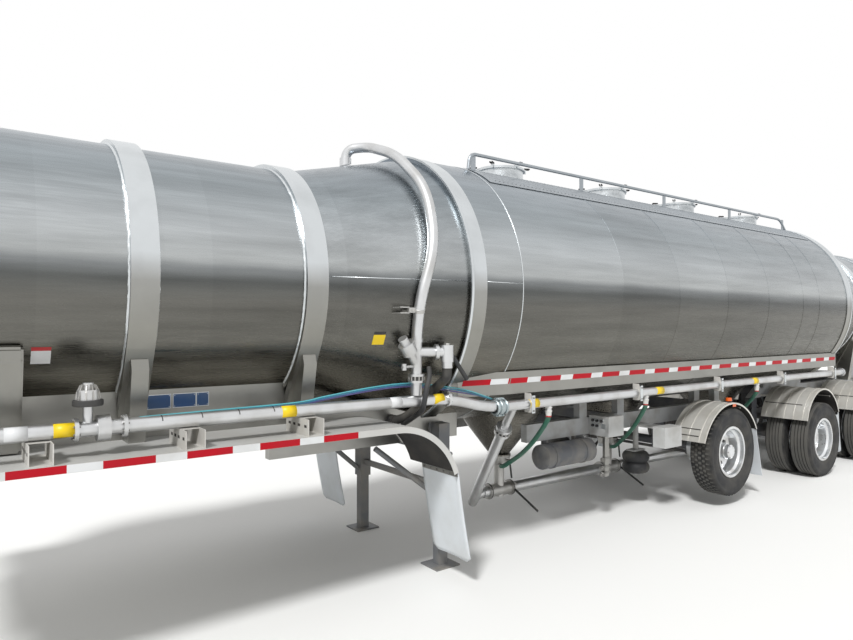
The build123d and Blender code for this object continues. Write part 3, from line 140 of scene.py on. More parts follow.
def millAluminium(name, finish):
    material, tree, shader, place = startMaterial(name, {"Metallic": 1.0})
    long = addNode(tree, "ShaderNodeMapping", {"Scale": (finish["stretch"], 1.0, 1.0)}, {"Vector": place})
    streak = addNode(tree, "ShaderNodeTexNoise", {"Scale": perMetre(finish["streak"]), "Detail": 5.0,
                                                  "Roughness": 0.6}, {"Vector": long.outputs[0]})
    grain = addNode(tree, "ShaderNodeTexNoise", {"Scale": perMetre(finish["grain"]), "Detail": 1.0},
                    {"Vector": long.outputs[0]})
    cloud = addNode(tree, "ShaderNodeTexNoise", {"Scale": perMetre(finish["cloud"]), "Detail": 5.0},
                    {"Vector": place})
    spot = addNode(tree, "ShaderNodeSeparateXYZ", links={"Vector": place})
    # the lines between the painted reflection's tones wander by a few centimetres along the sheet
    height = addNode(tree, "ShaderNodeMath", {"operation": "MULTIPLY_ADD", 1: finish["wander"]},
                     {0: cloud.outputs["Fac"], 2: spot.outputs["Z"]})
    tone = toneAlong(tree, height.outputs[0], finish["tones"], finish["wander"] / 2)
    spray = addNode(tree, "ShaderNodeMapRange", {"From Min": finish["bellyTop"], "From Max": finish["bellyFoot"]},
                    {"Value": spot.outputs["Z"]})
    front = addNode(tree, "ShaderNodeMapRange",
                    {"From Min": finish["bellyX"][0], "From Max": finish["bellyX"][1]}, {"Value": spot.outputs["X"]})
    soil = addNode(tree, "ShaderNodeMath", {"operation": "MULTIPLY"}, {0: spray.outputs[0], 1: front.outputs[0]})
    coat = addNode(tree, "ShaderNodeMix", {"data_type": "RGBA", 7: toLinear(finish["belly"])},
                   {0: soil.outputs[0], 6: tone})
    course = addNode(tree, "ShaderNodeMath", {"operation": "ADD", 1: finish["courseStart"]}, {0: spot.outputs["X"]})
    sheet = addNode(tree, "ShaderNodeMath", {"operation": "FLOOR"}, {0: course.outputs[0]})
    batch = addNode(tree, "ShaderNodeTexWhiteNoise", {"noise_dimensions": "1D"}, {"W": sheet.outputs[0]})
    dull, clean = finish["courseTone"]
    shade = addNode(tree, "ShaderNodeMapRange", {"To Min": dull, "To Max": clean},
                    {"Value": batch.outputs["Value"]})
    dull, clean = finish["brushTone"]
    brushed = addNode(tree, "ShaderNodeMapRange",
                      {"From Min": 0.25, "From Max": 0.75, "To Min": dull, "To Max": clean},
                      {"Value": streak.outputs["Fac"]})
    both = addNode(tree, "ShaderNodeMath", {"operation": "MULTIPLY"}, {0: shade.outputs[0], 1: brushed.outputs[0]})
    colour = addNode(tree, "ShaderNodeVectorMath", {"operation": "SCALE"},
                     {0: coat.outputs[2], "Scale": both.outputs[0]})
    rough = addNode(tree, "ShaderNodeMapRange",
                    {"From Min": 0.3, "From Max": 0.7, "To Min": finish["rough"],
                     "To Max": finish["rough"] + finish["roughSpread"]}, {"Value": grain.outputs["Fac"]})
    # sheet that is rolled by hand is never quite flat
    wave = addNode(tree, "ShaderNodeTexNoise", {"Scale": perMetre(finish["wave"]), "Detail": 0.0}, {"Vector": place})
    wavy = addNode(tree, "ShaderNodeBump", {"Strength": 0.35, "Distance": finish["waveDepth"]},
                   {"Height": wave.outputs["Fac"]})
    linkInputs(tree, shader, {"Base Color": colour.outputs[0], "Roughness": rough.outputs[0],
                              "Normal": wavy.outputs[0]})
    return material


# Extruded and folded aluminium plate, wiped but not polished: paler and flatter than the barrel, with the same
# painted reflection of the ground, darker below the widest line of the tank; "dirt" is what is left of the tone under
# the thickest patches
plateFinishAndReflection = {"tones": ((1.30, "#9B9A96"), (2.10, "#96958F"), (2.42, "#A1A19E"), (2.60, "#D2D6D8"),
                         (3.00, "#D4D8DA")), "dirt": 0.90, "rough": 0.32, "grit": 40}
# weld metal, rolled edges and wiped fittings keep one pale tone all the way down, which on the weld beads and on the
# rolled lips of the ring bands is a painted highlight
brightFinish = {"tones": ((1.30, "#D4D8DA"), (3.00, "#D4D8DA")), "dirt": 0.92, "rough": 0.32, "grit": 40}
# the sheet that the crew walks on has gone as grey as the crown beside it
walkFinish = {"tones": ((1.30, "#A5ABB0"), (3.00, "#A5ABB0")), "dirt": 0.92, "rough": 0.36, "grit": 40}


def platedAluminium(name, finish):
    material, tree, shader, place = startMaterial(name, {"Metallic": 1.0, "Roughness": finish["rough"]})
    scratch = addNode(tree, "ShaderNodeTexNoise", {"Scale": perMetre(finish["grit"]), "Detail": 6.0},
                      {"Vector": place})
    dirt = addNode(tree, "ShaderNodeTexNoise", {"Scale": perMetre(350), "Detail": 6.0}, {"Vector": place})
    spot = addNode(tree, "ShaderNodeSeparateXYZ", links={"Vector": place})
    tone = toneAlong(tree, spot.outputs["Z"], finish["tones"])
    left = addNode(tree, "ShaderNodeMapRange", {"From Min": 0.36, "From Max": 0.56, "To Min": finish["dirt"]},
                   {"Value": dirt.outputs["Fac"]})
    colour = addNode(tree, "ShaderNodeVectorMath", {"operation": "SCALE"}, {0: tone, "Scale": left.outputs[0]})
    rough = addNode(tree, "ShaderNodeMapRange",
                    {"To Min": finish["rough"] - 0.08, "To Max": finish["rough"] + 0.10},
                    {"Value": scratch.outputs["Fac"]})
    bump = addNode(tree, "ShaderNodeBump", {"Strength": 0.06, "Distance": 0.002},
                   {"Height": scratch.outputs["Fac"]})
    linkInputs(tree, shader, {"Base Color": colour.outputs[0], "Roughness": rough.outputs[0],
                              "Normal": bump.outputs[0]})
    return material


# Painted steel, rubber, moulded plastic and cast metal all share a base tone, road dust that gathers
# low down and in patches, and a fine grit in the surface
def dustySurface(name, colour, dust, settings, amount=0.35, grit=3, patch=220, bumpDepth=0.0006):
    material, tree, shader, place = startMaterial(name, settings)
    patchNoise = addNode(tree, "ShaderNodeTexNoise", {"Scale": perMetre(patch), "Detail": 7.0},
                         {"Vector": place})
    gritNoise = addNode(tree, "ShaderNodeTexNoise", {"Scale": perMetre(grit), "Detail": 2.0},
                        {"Vector": place})
    cover = addNode(tree, "ShaderNodeMapRange",
                    {"From Min": 0.42, "From Max": 0.66, "To Min": 0.0, "To Max": amount},
                    {"Value": patchNoise.outputs["Fac"]})
    mix = addNode(tree, "ShaderNodeMix", {"data_type": "RGBA", 6: toLinear(colour), 7: toLinear(dust)},
                  {0: cover.outputs[0]})
    rough = addNode(tree, "ShaderNodeMapRange",
                    {"To Min": settings["Roughness"] - 0.08, "To Max": min(1.0, settings["Roughness"] + 0.12)},
                    {"Value": patchNoise.outputs["Fac"]})
    bump = addNode(tree, "ShaderNodeBump", {"Strength": 0.5, "Distance": bumpDepth},
                   {"Height": gritNoise.outputs["Fac"]})
    linkInputs(tree, shader, {"Base Color": mix.outputs[2], "Roughness": rough.outputs[0],
                              "Normal": bump.outputs[0]})
    return material


barrelMetal = millAluminium("millAluminiumBarrelPaintedReflection", barrelFinishAndReflection)
plateMetal = platedAluminium("foldedAluminiumPlatePaintedReflection", plateFinishAndReflection)
brightMetalAndHighlight = platedAluminium("bareAluminiumAndHighlight", brightFinish)
walkMetal = platedAluminium("scuffedAluminiumTread", walkFinish)
# the flat deck sheet is pale with dried dust and mirrors little
deckMetal = dustySurface("dustedAluminiumDeck", "#C6C6C3", "#AFACA4",
                         {"Metallic": 0.2, "Roughness": 0.45}, amount=0.4, grit=6, patch=500, bumpDepth=0.0002)
# sheared plate that has gone white and chalky
bracketMetal = dustySurface("chalkedAluminiumBracket", "#CDCBC6", "#A9A59C",
                            {"Metallic": 0.25, "Roughness": 0.5}, amount=0.4, grit=5, bumpDepth=0.0003)
# drawn pipe, bright under a thin film, and the matt grey of sand-cast valve bodies
pipeMetal = dustySurface("drawnAluminiumPipe", "#D3D4D5", "#A5A29C",
                         {"Metallic": 0.9, "Roughness": 0.33}, amount=0.4, grit=8, bumpDepth=0.0002)
castMetal = dustySurface("castAluminiumValve", "#BEBDBA", "#8E8A83",
                         {"Metallic": 0.8, "Roughness": 0.45}, amount=0.5, grit=4, bumpDepth=0.0012)
# the pressed fenders are duller than the plates and carry pale dried dust on top, with black painted shade on their
# faces below that look towards the wheel
fenderMetal = dustySurface("pressedAluminiumFender", "#D9D7D1", "#B2ADA2",
                           {"Metallic": 0.55, "Roughness": 0.42}, amount=0.5, grit=6, patch=300, bumpDepth=0.0002)
# matt black with a coarse grain, used as painted shade: on the fender faces that look towards the wheel, in the
# fenders' folds and in the slots of the deck brackets
paintedShadeBlack = dustySurface("blackPaintedShade", "#2B2A29", "#4A4641", {"Roughness": 0.85}, amount=0.5, grit=5,
                         bumpDepth=0.001)
# a cold blue grey, as zinc plating has
zincShell = dustySurface("zincPlatedShell", "#AEB9BC", "#8B908F", {"Metallic": 0.8, "Roughness": 0.38}, amount=0.4)
# dark chassis paint, worn paint of the legs and pale paint of the box, each under dry road dirt
framePaint = dustySurface("greyPaintedSteel", "#54565A", "#8A857C", {"Roughness": 0.55}, amount=0.55)
gearPaint = dustySurface("wornGreyPaint", "#6E7073", "#8E887D", {"Roughness": 0.55}, amount=0.6)
boxPaint = dustySurface("paleBoxPaint", "#B7B8B7", "#8F8B83", {"Roughness": 0.45}, amount=0.5)
# black rubber of the springs and of the riser's hose, browned by dust
bagRubber = dustySurface("mouldedBagRubber", "#1C1D1F", "#67645D", {"Roughness": 0.6}, amount=0.6)
# tyre rubber: the worn faces of the tread are grey with dust, the grooves and the shoulders stay dark, and
# the side wall carries a thin brown film that thickens towards the rim
tyreFinish = {"tones": ((0.30, "#3A3936"), (0.36, "#2A2A2B"), (0.47, "#242527"), (0.505, "#151617"),
                        (0.5165, "#1A1B1C"), (0.5185, "#4E4D4A")), "dust": "#5B5852", "cover": 0.40}


def dustyTyre(name, finish):
    material, tree, shader, place = startMaterial(name, {"Roughness": 0.75})
    flat = addNode(tree, "ShaderNodeVectorMath", {"operation": "MULTIPLY", 1: (1.0, 0.0, 1.0)}, {0: place})
    radius = addNode(tree, "ShaderNodeVectorMath", {"operation": "LENGTH"}, {0: flat.outputs[0]})
    tone = toneAlong(tree, radius.outputs["Value"], finish["tones"])
    patch = addNode(tree, "ShaderNodeTexNoise", {"Scale": perMetre(160), "Detail": 7.0}, {"Vector": place})
    cover = addNode(tree, "ShaderNodeMapRange", {"From Min": 0.42, "From Max": 0.7, "To Max": finish["cover"]},
                    {"Value": patch.outputs["Fac"]})
    mix = addNode(tree, "ShaderNodeMix", {"data_type": "RGBA", 7: toLinear(finish["dust"])},
                  {0: cover.outputs[0], 6: tone})
    grit = addNode(tree, "ShaderNodeTexNoise", {"Scale": perMetre(5), "Detail": 2.0}, {"Vector": place})
    bump = addNode(tree, "ShaderNodeBump", {"Strength": 0.5, "Distance": 0.001}, {"Height": grit.outputs["Fac"]})
    linkInputs(tree, shader, {"Base Color": mix.outputs[2], "Normal": bump.outputs[0]})
    return material


tyreRubber = dustyTyre("dustyTyreRubber", tyreFinish)
# forged and machined bright, with brake dust in small patches
wheelMetal = dustySurface("forgedAluminiumWheel", "#E6E8EA", "#AEAAA2",
                          {"Metallic": 1.0, "Roughness": 0.3}, amount=0.5, patch=120)
# pale moulded plastic without any shine
flapPlastic = dustySurface("paleMouldedFlap", "#D3D8DC", "#A3A199", {"Roughness": 0.55}, amount=0.3, patch=400)
# green rubber, chalky where the road dries on it
greenRubber = dustySurface("chalkyGreenHose", "#2C6450", "#6F8579", {"Roughness": 0.65}, amount=0.4)
# pale grey frame paint that the road film turns warmer
palePaint = dustySurface("paleFramePaint", "#A6A8A9", "#807B72", {"Roughness": 0.5}, amount=0.6)
# deep red plastic with a hard shine
lensPlastic = dustySurface("redLens", "#8E0F12", "#5A2320", {"Roughness": 0.2, "Coat Weight": 0.6}, amount=0.2)

# zinc-plated wheel nuts, gone dull, and the brass of the valve stems
nutMetal = dustySurface("dullPlatedNut", "#8C8B88", "#5D5952", {"Metallic": 0.9, "Roughness": 0.42}, amount=0.5,
                        patch=60)
brassMetal = dustySurface("valveStemBrass", "#B49A5A", "#6E6857", {"Metallic": 1.0, "Roughness": 0.4}, amount=0.5)
# the red strips are a flat, deep colour, and the white ones have a soft shine from their clear face
tapeRed = dustySurface("redReflectiveTape", "#B20A1E", "#8C2A31", {"Roughness": 0.45, "Specular IOR Level": 0.2},
                       amount=0.25, grit=2, bumpDepth=0.0001)
tapeWhite = dustySurface("whiteReflectiveTape", "#DADCDD", "#A5A29B", {"Roughness": 0.35, "Coat Weight": 0.4},
                         amount=0.3, grit=2, bumpDepth=0.0001)

# vinyl, enamel and moulded trim in flat colours; the dust on them is slight
labelYellow = dustySurface("yellowVinylLabel", "#EBC912", "#A08C52", {"Roughness": 0.4}, amount=0.25,
                           bumpDepth=0.0001)
labelWhite = dustySurface("whiteVinylLabel", "#D9DADB", "#A09D97", {"Roughness": 0.4}, amount=0.25,
                          bumpDepth=0.0001)
plateBlue = dustySurface("blueEnamelPlate", "#1F4E84", "#5B6B7C", {"Roughness": 0.35, "Coat Weight": 0.3},
                         amount=0.3, bumpDepth=0.0001)
darkPlastic = dustySurface("darkMouldedPlastic", "#2A2B2D", "#57544E", {"Roughness": 0.55}, amount=0.4)
paleNylon = dustySurface("paleNylonFitting", "#D2D2CE", "#96928A", {"Roughness": 0.5}, amount=0.4)
bandRed = dustySurface("redHoseBand", "#B3262B", "#7B5B55", {"Roughness": 0.5}, amount=0.3)
lineBlue = dustySurface("blueNylonLine", "#4E9AC4", "#7C8C93", {"Roughness": 0.45}, amount=0.3)
lineTeal = dustySurface("tealNylonLine", "#57AEB8", "#7E9094", {"Roughness": 0.45}, amount=0.3)
lineViolet = dustySurface("violetNylonLine", "#7A72B0", "#7E7B8C", {"Roughness": 0.45}, amount=0.3)
amberLens = dustySurface("amberLens", "#D2590E", "#8A5A3A", {"Roughness": 0.25, "Coat Weight": 0.5}, amount=0.2)

finishNames = (
    (barrelMetal, "tank hoppers"), (plateMetal, "ring_bands hoops front_subframe side_rails manhole_collars"),
    (deckMetal, "deck_fenders"), (fenderMetal, "wheel_fenders steer_fender_l steer_fender_r"),
    (walkMetal, "walkway"), (bracketMetal, "pipe_brackets"), (pipeMetal, "air_line air_riser product_line"),
    (castMetal, "discharge_valves"), (gearPaint, "landing_gear rear_bumper"), (boxPaint, "boxes"),
    (framePaint, "steer_axle tridem_axles knuckle_l knuckle_r tie_rod air_tank axle_hangers cross_members"),
    (palePaint, "rear_subframe steer_subframe"), (bagRubber, "air_springs riser_hose"),
    (flapPlastic, "mudflaps"), (lensPlastic, "lamps"), (greenRubber, "hoses"),
)
finishOf = {name: material for material, names in finishNames for name in names.split()}
for name, node in nodes.items():
    if name.startswith("tyre"):
        finish = tyreRubber
    elif name.startswith("wheel_") and name != "wheel_fenders" or name.startswith("wheels_"):
        finish = wheelMetal
    elif name.startswith("manhole_lid"):
        finish = plateMetal
    else:
        finish = finishOf[name]
    for materialSlot in node.material_slots:
        materialSlot.material = finish
print("materials made")


# Meshes

def newMesh(name, bm, material, body="chassis", smooth=False):
    mesh = bpy.data.meshes.new(name)
    bm.normal_update()
    bm.to_mesh(mesh)
    bm.free()
    piece = bpy.data.objects.new(name, mesh)
    bpy.context.collection.objects.link(piece)
    mesh.materials.append(material)
    for polygon in mesh.polygons:
        polygon.use_smooth = smooth
    if body:
        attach(piece, body)
    return piece


def recentre(piece, place):
    # the object's own origin goes to the wheel's centre, so that its dust follows the radius
    piece.data.transform(Matrix.Translation(-Vector(place)))
    piece.matrix_world = piece.matrix_world @ Matrix.Translation(Vector(place))


def axes(direction):
    forward = Vector(direction).normalized()
    side = forward.cross(Vector((0, 0, 1)) if abs(forward.z) < 0.9 else Vector((1, 0, 0))).normalized()
    return forward, side, side.cross(forward)


def around(count, start=0.0):
    # the cosine and sine of evenly spaced turns
    turns = [math.tau * i / count + start for i in range(count)]
    return [(math.cos(turn), math.sin(turn)) for turn in turns]


def skinRings(bm, rings):
    # quads from each closed ring to the next, and a lid on the first and on the last
    for low, high in zip(rings, rings[1:]):
        for i in range(len(low)):
            j = (i + 1) % len(low)
            bm.faces.new((low[i], high[i], high[j], low[j]))
    bm.faces.new(rings[0])
    bm.faces.new(list(reversed(rings[-1])))


def skinGrid(bm, rows):
    for a, b in zip(rows, rows[1:]):
        for k in range(len(a) - 1):
            bm.faces.new((a[k], a[k + 1], b[k + 1], b[k]))


def addPrism(bm, a, b, radius, sides=12, endRadius=None, bevel=0.0):
    # a closed bar from a to b; with a bevel its two rims are chamfered
    start, end = Vector(a), Vector(b)
    forward, side, up = axes(end - start)
    endRadius = radius if endRadius is None else endRadius
    steps = [(start, radius), (end, endRadius)]
    if bevel:
        steps = [(start, radius - bevel), (start + forward * bevel, radius), (end - forward * bevel, endRadius),
                 (end, endRadius - bevel)]
    skinRings(bm, [[bm.verts.new(place + side * (r * cos) + up * (r * sin)) for cos, sin in around(sides)]
                   for place, r in steps])


def addTube(bm, points, radius, sides=10):
    # a round tube along a polyline, with a mitred ring at each corner
    points = [Vector(point) for point in points]
    rings = []
    side = None
    for i, place in enumerate(points):
        forward = (points[min(i + 1, len(points) - 1)] - points[max(i - 1, 0)]).normalized()
        if side is None:
            forward, side, up = axes(forward)
        side = (side - forward * side.dot(forward)).normalized()
        up = side.cross(forward)
        rings.append([bm.verts.new(place + (side * cos + up * sin) * radius) for cos, sin in around(sides)])
    skinRings(bm, rings)


def curved(points, steps=5):
    # a smooth run of points through the given ones
    points = [Vector(point) for point in points]
    padded = [points[0] * 2 - points[1]] + points + [points[-1] * 2 - points[-2]]
    run = []
    for i in range(1, len(padded) - 2):
        a, b, c, d = padded[i - 1:i + 3]
        for k in range(steps):
            t = k / steps
            run.append(0.5 * (2 * b + (c - a) * t + (2 * a - 5 * b + 4 * c - d) * t * t
                              + (3 * b - a - 3 * c + d) * t ** 3))
    return run + [points[-1]]


def addBlock(bm, low, high, bevel=0.0):
    # a closed box between two corners
    corners = [bm.verts.new((x, y, z)) for x in (low[0], high[0]) for y in (low[1], high[1])
               for z in (low[2], high[2])]
    faces = []
    for a, b, c, d in ((0, 1, 3, 2), (4, 6, 7, 5), (0, 4, 5, 1), (2, 3, 7, 6), (0, 2, 6, 4), (1, 5, 7, 3)):
        faces.append(bm.faces.new((corners[a], corners[b], corners[c], corners[d])))
    if bevel:
        edges = {edge for face in faces for edge in face.edges}
        bmesh.ops.bevel(bm, geom=list(edges), offset=bevel, segments=2, affect="EDGES")


def addTurned(bm, turn, low, high, bevel):
    # a box that is made about the origin and then set in its place
    first = len(bm.verts)
    addBlock(bm, low, high, bevel)
    bm.verts.ensure_lookup_table()
    bmesh.ops.transform(bm, matrix=turn, verts=bm.verts[first:])


def addRing(bm, centre, profile, segments, axis="y"):
    # turns a closed (along, radius) outline about the y or the x axis
    rings = []
    for cos, sin in around(segments):
        offsets = [(radius * cos, along, radius * sin) if axis == "y" else (along, radius * cos, radius * sin)
                   for along, radius in profile]
        rings.append([bm.verts.new([a + b for a, b in zip(centre, offset)]) for offset in offsets])
    for here, there in zip(rings, rings[1:] + rings[:1]):
        for k in range(len(profile)):
            j = (k + 1) % len(profile)
            bm.faces.new((here[k], here[j], there[j], there[k]))
    bmesh.ops.recalc_face_normals(bm, faces=bm.faces)


def paintPart(node, material, test):
    # a second finish on the faces of a CAD node that the test picks
    node.data.materials.append(material)
    index = len(node.data.materials) - 1
    for polygon in node.data.polygons:
        if test(polygon):
            polygon.material_index = index


# Tyres

# a tyre's crown is ribbed (rear) or blocked (front) rubber with grooves; the sidewall steps at the shoulder and
# carries a raised ring near the bead
tyreShape = {"radius": 0.5222, "half": 0.1378, "bead": 0.3045, "beadHalf": 0.1035, "crownHalf": 0.110,
             "groove": 0.009, "grooveDeep": 0.013, "chamfer": 0.0015, "crownFall": 0.0032,
             "ribGrooves": (-0.062, -0.021, 0.021, 0.062), "blockGrooves": (-0.066, -0.024, 0.024, 0.066),
             "segments": 108, "blocks": 54, "slotDeep": 0.009, "treadFrom": 0.512, "sideSmooth": 0.50,
             "side": ((-0.014, 0.345), (-0.012, 0.349), (-0.009, 0.353), (-0.004, 0.380), (0.0, 0.410),
                      (-0.002, 0.440), (-0.005, 0.462), (-0.002, 0.466), (-0.006, 0.489), (-0.016, 0.505)),
             "shoulder": ((0.002, 0.5165), (-0.004, 0.5190))}


def tyreProfile(grooves):
    shape = tyreShape
    beadHalf, bead, crown = shape["beadHalf"], shape["bead"], shape["crownHalf"]
    right = [(beadHalf, bead), (beadHalf + 0.010, bead + 0.012)]
    right += [(shape["half"] + out, radius) for out, radius in shape["side"]]
    right += [(crown + out, radius) for out, radius in shape["shoulder"]]
    left = [(-along, radius) for along, radius in reversed(right)]
    g, chamfer, deep = shape["groove"] / 2, shape["chamfer"], shape["grooveDeep"]
    top = []
    for middle in sorted(grooves, reverse=True):
        lift = shape["radius"] - shape["crownFall"] * (middle / crown) ** 2
        top += [(middle + g + chamfer, lift), (middle + g, lift - 0.002), (middle + g - 0.0012, lift - deep),
                (middle - g + 0.0012, lift - deep), (middle - g, lift - 0.002), (middle - g - chamfer, lift)]
    inner = [(-beadHalf, bead - 0.012), (beadHalf, bead - 0.012)]
    return right + top + left + inner


def buildTyre(name, centre, body, steered):
    shape = tyreShape
    grooves = shape["blockGrooves"] if steered else shape["ribGrooves"]
    bm = bmesh.new()
    addRing(bm, centre, tyreProfile(grooves), shape["segments"])
    if steered:
        # cross slots cut the ribs into blocks: the top verts of a rib are pulled down in every other row, and
        # the ribs beside the middle have theirs one row further on
        step = shape["segments"] // shape["blocks"]
        inner, outer = shape["blockGrooves"][2:]
        for vert in bm.verts:
            along, across, up = vert.co.y - centre[1], vert.co.x - centre[0], vert.co.z - centre[2]
            radius = math.hypot(across, up)
            if radius < shape["treadFrom"] or abs(along) > shape["crownHalf"] + 0.004:
                continue
            row = 0 if abs(along) > outer or abs(along) < inner else 1
            index = round(math.atan2(up, across) / math.tau * shape["segments"]) + row
            if index % step == 0:
                pull = (radius - shape["slotDeep"]) / radius
                vert.co.x = centre[0] + across * pull
                vert.co.z = centre[2] + up * pull
    piece = newMesh(name, bm, tyreRubber, body)
    for polygon in piece.data.polygons:
        middle = polygon.center
        polygon.use_smooth = math.hypot(middle.x - centre[0], middle.z - centre[2]) < shape["sideSmooth"]
    recentre(piece, centre)
    return piece


twinOffset = 0.171
tyreCount = 0
for name in sorted(nodes):
    if not name.startswith("tyre"):
        continue
    low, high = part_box(name)
    middle = [(a + b) / 2 for a, b in zip(low, high)]
    steered = name.startswith("tyre_")
    for offset in ((0.0,) if steered else (-twinOffset, twinOffset)):
        centre = (middle[0], middle[1] + offset, middle[2])
        tyreCount += 1
        tyre = buildTyre(f"tyreTread{tyreCount}", centre, nodes[name]["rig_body"], steered)
        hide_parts(name)
print(tyreCount, "tyres made")


# Wheels

# ten hub-piloted nuts with washers and stud ends, the bolts of the hub cap, and the valve stem of the tyre;
# each step of the stack is (from, to, radius, sides)
wheelShape = {"studRing": 0.142875, "studs": 10, "studTurn": 0.1, "face": 1.0062,
              "stack": ((0, 0.005, 0.0185, 20), (0.005, 0.026, 0.0165 / 0.866, 6), (0.026, 0.036, 0.0105, 12)),
              "capRing": 0.073, "capBolts": 6, "capBolt": 0.0075, "capDeep": {"wheel_": 0.0095, "wheels": 0.006},
              "stem": 0.0045, "stemTip": 0.0065, "stemPath": ((0.205, 0.94), (0.222, 0.985), (0.226, 1.012)),
              "stemEnd": 1.024}


def buildFittings(name, wheel, body):
    shape = wheelShape
    low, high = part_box(wheel)
    x, z = (low[0] + high[0]) / 2, (low[2] + high[2]) / 2
    side = 1 if (low[1] + high[1]) > 0 else -1
    bm = bmesh.new()
    for cos, sin in around(shape["studs"], shape["studTurn"]):
        px, pz = x + shape["studRing"] * cos, z + shape["studRing"] * sin
        for near, far, radius, sides in shape["stack"]:
            addPrism(bm, (px, side * (shape["face"] + near), pz), (px, side * (shape["face"] + far), pz), radius,
                     sides, bevel=0.0015)
    start = max(abs(low[1]), abs(high[1])) - shape["capDeep"][wheel[:6]]
    for cos, sin in around(shape["capBolts"]):
        px, pz = x + shape["capRing"] * cos, z + shape["capRing"] * sin
        addPrism(bm, (px, side * (start - 0.004), pz), (px, side * (start + 0.004), pz), shape["capBolt"], 6,
                 bevel=0.001)
    piece = newMesh(name, bm, nutMetal, body)
    bm = bmesh.new()
    turn = shape["studTurn"] + math.tau / 4
    path = [Vector((x + r * math.cos(turn), side * y, z + r * math.sin(turn))) for r, y in shape["stemPath"]]
    addTube(bm, curved(path, 3), shape["stem"], 8)
    addPrism(bm, path[-1], (path[-1].x, side * shape["stemEnd"], path[-1].z), shape["stemTip"], 10, bevel=0.001)
    stem = newMesh(name + "Stem", bm, brassMetal, body, smooth=True)


for name in sorted(nodes):
    if name.startswith("wheels_") or name in ("wheel_1l", "wheel_1r"):
        buildFittings("wheelNuts" + name[-2:], name, nodes[name]["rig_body"])
print("wheel fittings made")


# Reflective tape

# pressure-sensitive strips of white and red in turn, with slanted ends along the rail
tapeShape = {"pitch": 0.457, "red": 0.279, "deckTop": 1.3835, "deckHeight": 0.0445, "deckFirst": 6.711,
             "railTop": 1.670, "railHeight": 0.048, "railPitch": 0.4525, "railFirst": 2.962, "slant": 0.015,
             "thick": 0.0008, "lift": 0.0002, "deckRear": 4.61, "railFront": 2.895,
             "nose": ((3.480, 1.010), (2.900, 1.062)), "noseReds": ((0.06, 0.36), (0.56, 0.70)),
             "noseWhites": ((0.36, 0.56),)}


def addStrip(bm, x0, x1, y, z0, z1, slant, thick):
    # a thin strip facing +y (or -y), with both ends slanted
    corners = [(x0 + slant, z0), (x1 + slant, z0), (x1, z1), (x0, z1)]
    skinRings(bm, [[bm.verts.new((x, face, z)) for x, z in corners] for face in (y, y + math.copysign(thick, y))])


def buildTape(name, faceY, top, height, firstRed, pitch, xLow, xHigh, slant):
    shape = tapeShape
    white = pitch - shape["red"]
    for colour, start, length, material in (("Red", 0.0, shape["red"], tapeRed),
                                            ("White", shape["red"], white, tapeWhite)):
        bm = bmesh.new()
        for number in range(-10, 40):
            x1 = firstRed - number * pitch - start
            x0, x1 = max(x1 - length, xLow), min(x1, xHigh)
            if x1 - x0 < 0.02:
                continue
            for side in (1, -1):
                addStrip(bm, x0, x1, side * faceY, top - height, top, slant, shape["thick"])
        bmesh.ops.recalc_face_normals(bm, faces=bm.faces)
        piece = newMesh(name + colour, bm, material)


# where the strips of the deck and of the rail start and end
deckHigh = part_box("deck_fenders")[1]
railLow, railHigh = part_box("side_rails")
buildTape("deckTape", deckHigh[1] + tapeShape["lift"], tapeShape["deckTop"], tapeShape["deckHeight"],
          tapeShape["deckFirst"], tapeShape["pitch"], tapeShape["deckRear"], deckHigh[0] - 0.01, 0.0)
buildTape("railTape", railHigh[1] + tapeShape["lift"], tapeShape["railTop"], tapeShape["railHeight"],
          tapeShape["railFirst"], tapeShape["railPitch"], railLow[0] + 0.02, tapeShape["railFront"],
          tapeShape["slant"])


def buildNoseTape():
    # the rail's nose bends inwards ahead of the barrel, and its strips follow it
    shape = tapeShape
    start, end = [Vector((x, y, 0)) for x, y in shape["nose"]]
    run = end - start
    along = run.normalized()
    out = Vector((-along.y, along.x, 0))
    out = out if out.y > 0 else -out
    for colour, spans, material in (("Red", shape["noseReds"], tapeRed), ("White", shape["noseWhites"], tapeWhite)):
        bm = bmesh.new()
        for near, far in spans:
            far = min(far, run.length - 0.005)
            top, slant = shape["railTop"], shape["slant"]
            foot = top - shape["railHeight"]
            for side in (1, -1):
                rings = []
                for lift in (0.0003, 0.0003 + shape["thick"]):
                    places = [(start + along * distance + out * lift, z)
                              for distance, z in ((near, top), (far, top), (far - slant, foot), (near - slant, foot))]
                    rings.append([bm.verts.new((place.x, side * place.y, z)) for place, z in places])
                skinRings(bm, rings)
        bmesh.ops.recalc_face_normals(bm, faces=bm.faces)
        piece = newMesh("noseTape" + colour, bm, material)


buildNoseTape()
print("tape laid")


# Labels

# blank vinyl wraps on the air line and blank plates and stickers: their places carry no print
labelShape = {"pipe": (1.100, 1.545), "rearPipe": (1.100, 1.430), "radius": 0.0449, "arc": 125, "facing": 15,
              "yellow": ((6.37, 6.48), (5.02, 5.125), (3.72, 3.82), (2.61, 2.73), (0.64, 0.77), (-1.47, -1.35)),
              "white": ((6.60, 6.71), (4.135, 4.237)), "stepX": 3.70,
              "plates": ((5.72, 5.875), (5.55, 5.70), (5.46, 5.54)), "plateZ": (1.575, 1.665), "plateY": 0.6203,
              "edge": 0.004, "edgeThick": 0.0008, "plateThick": 0.001, "rivetIn": 0.008, "rivet": 0.0028}


def addWrap(bm, x0, x1, y, z, radius, first, last, steps=14):
    # a strip laid round part of a pipe, from one turn to another
    rows = []
    for lift in (0.0, 0.0006):
        for x in (x0, x1):
            turns = [math.radians(first + (last - first) * i / steps) for i in range(steps + 1)]
            rows.append([bm.verts.new((x, y + (radius + lift) * math.cos(turn), z + (radius + lift) * math.sin(turn)))
                         for turn in turns])
    skinGrid(bm, [rows[0], rows[1], rows[3], rows[2], rows[0]])
    for i in (0, steps):
        bm.faces.new((rows[0][i], rows[1][i], rows[3][i], rows[2][i]))
    bmesh.ops.recalc_face_normals(bm, faces=bm.faces)


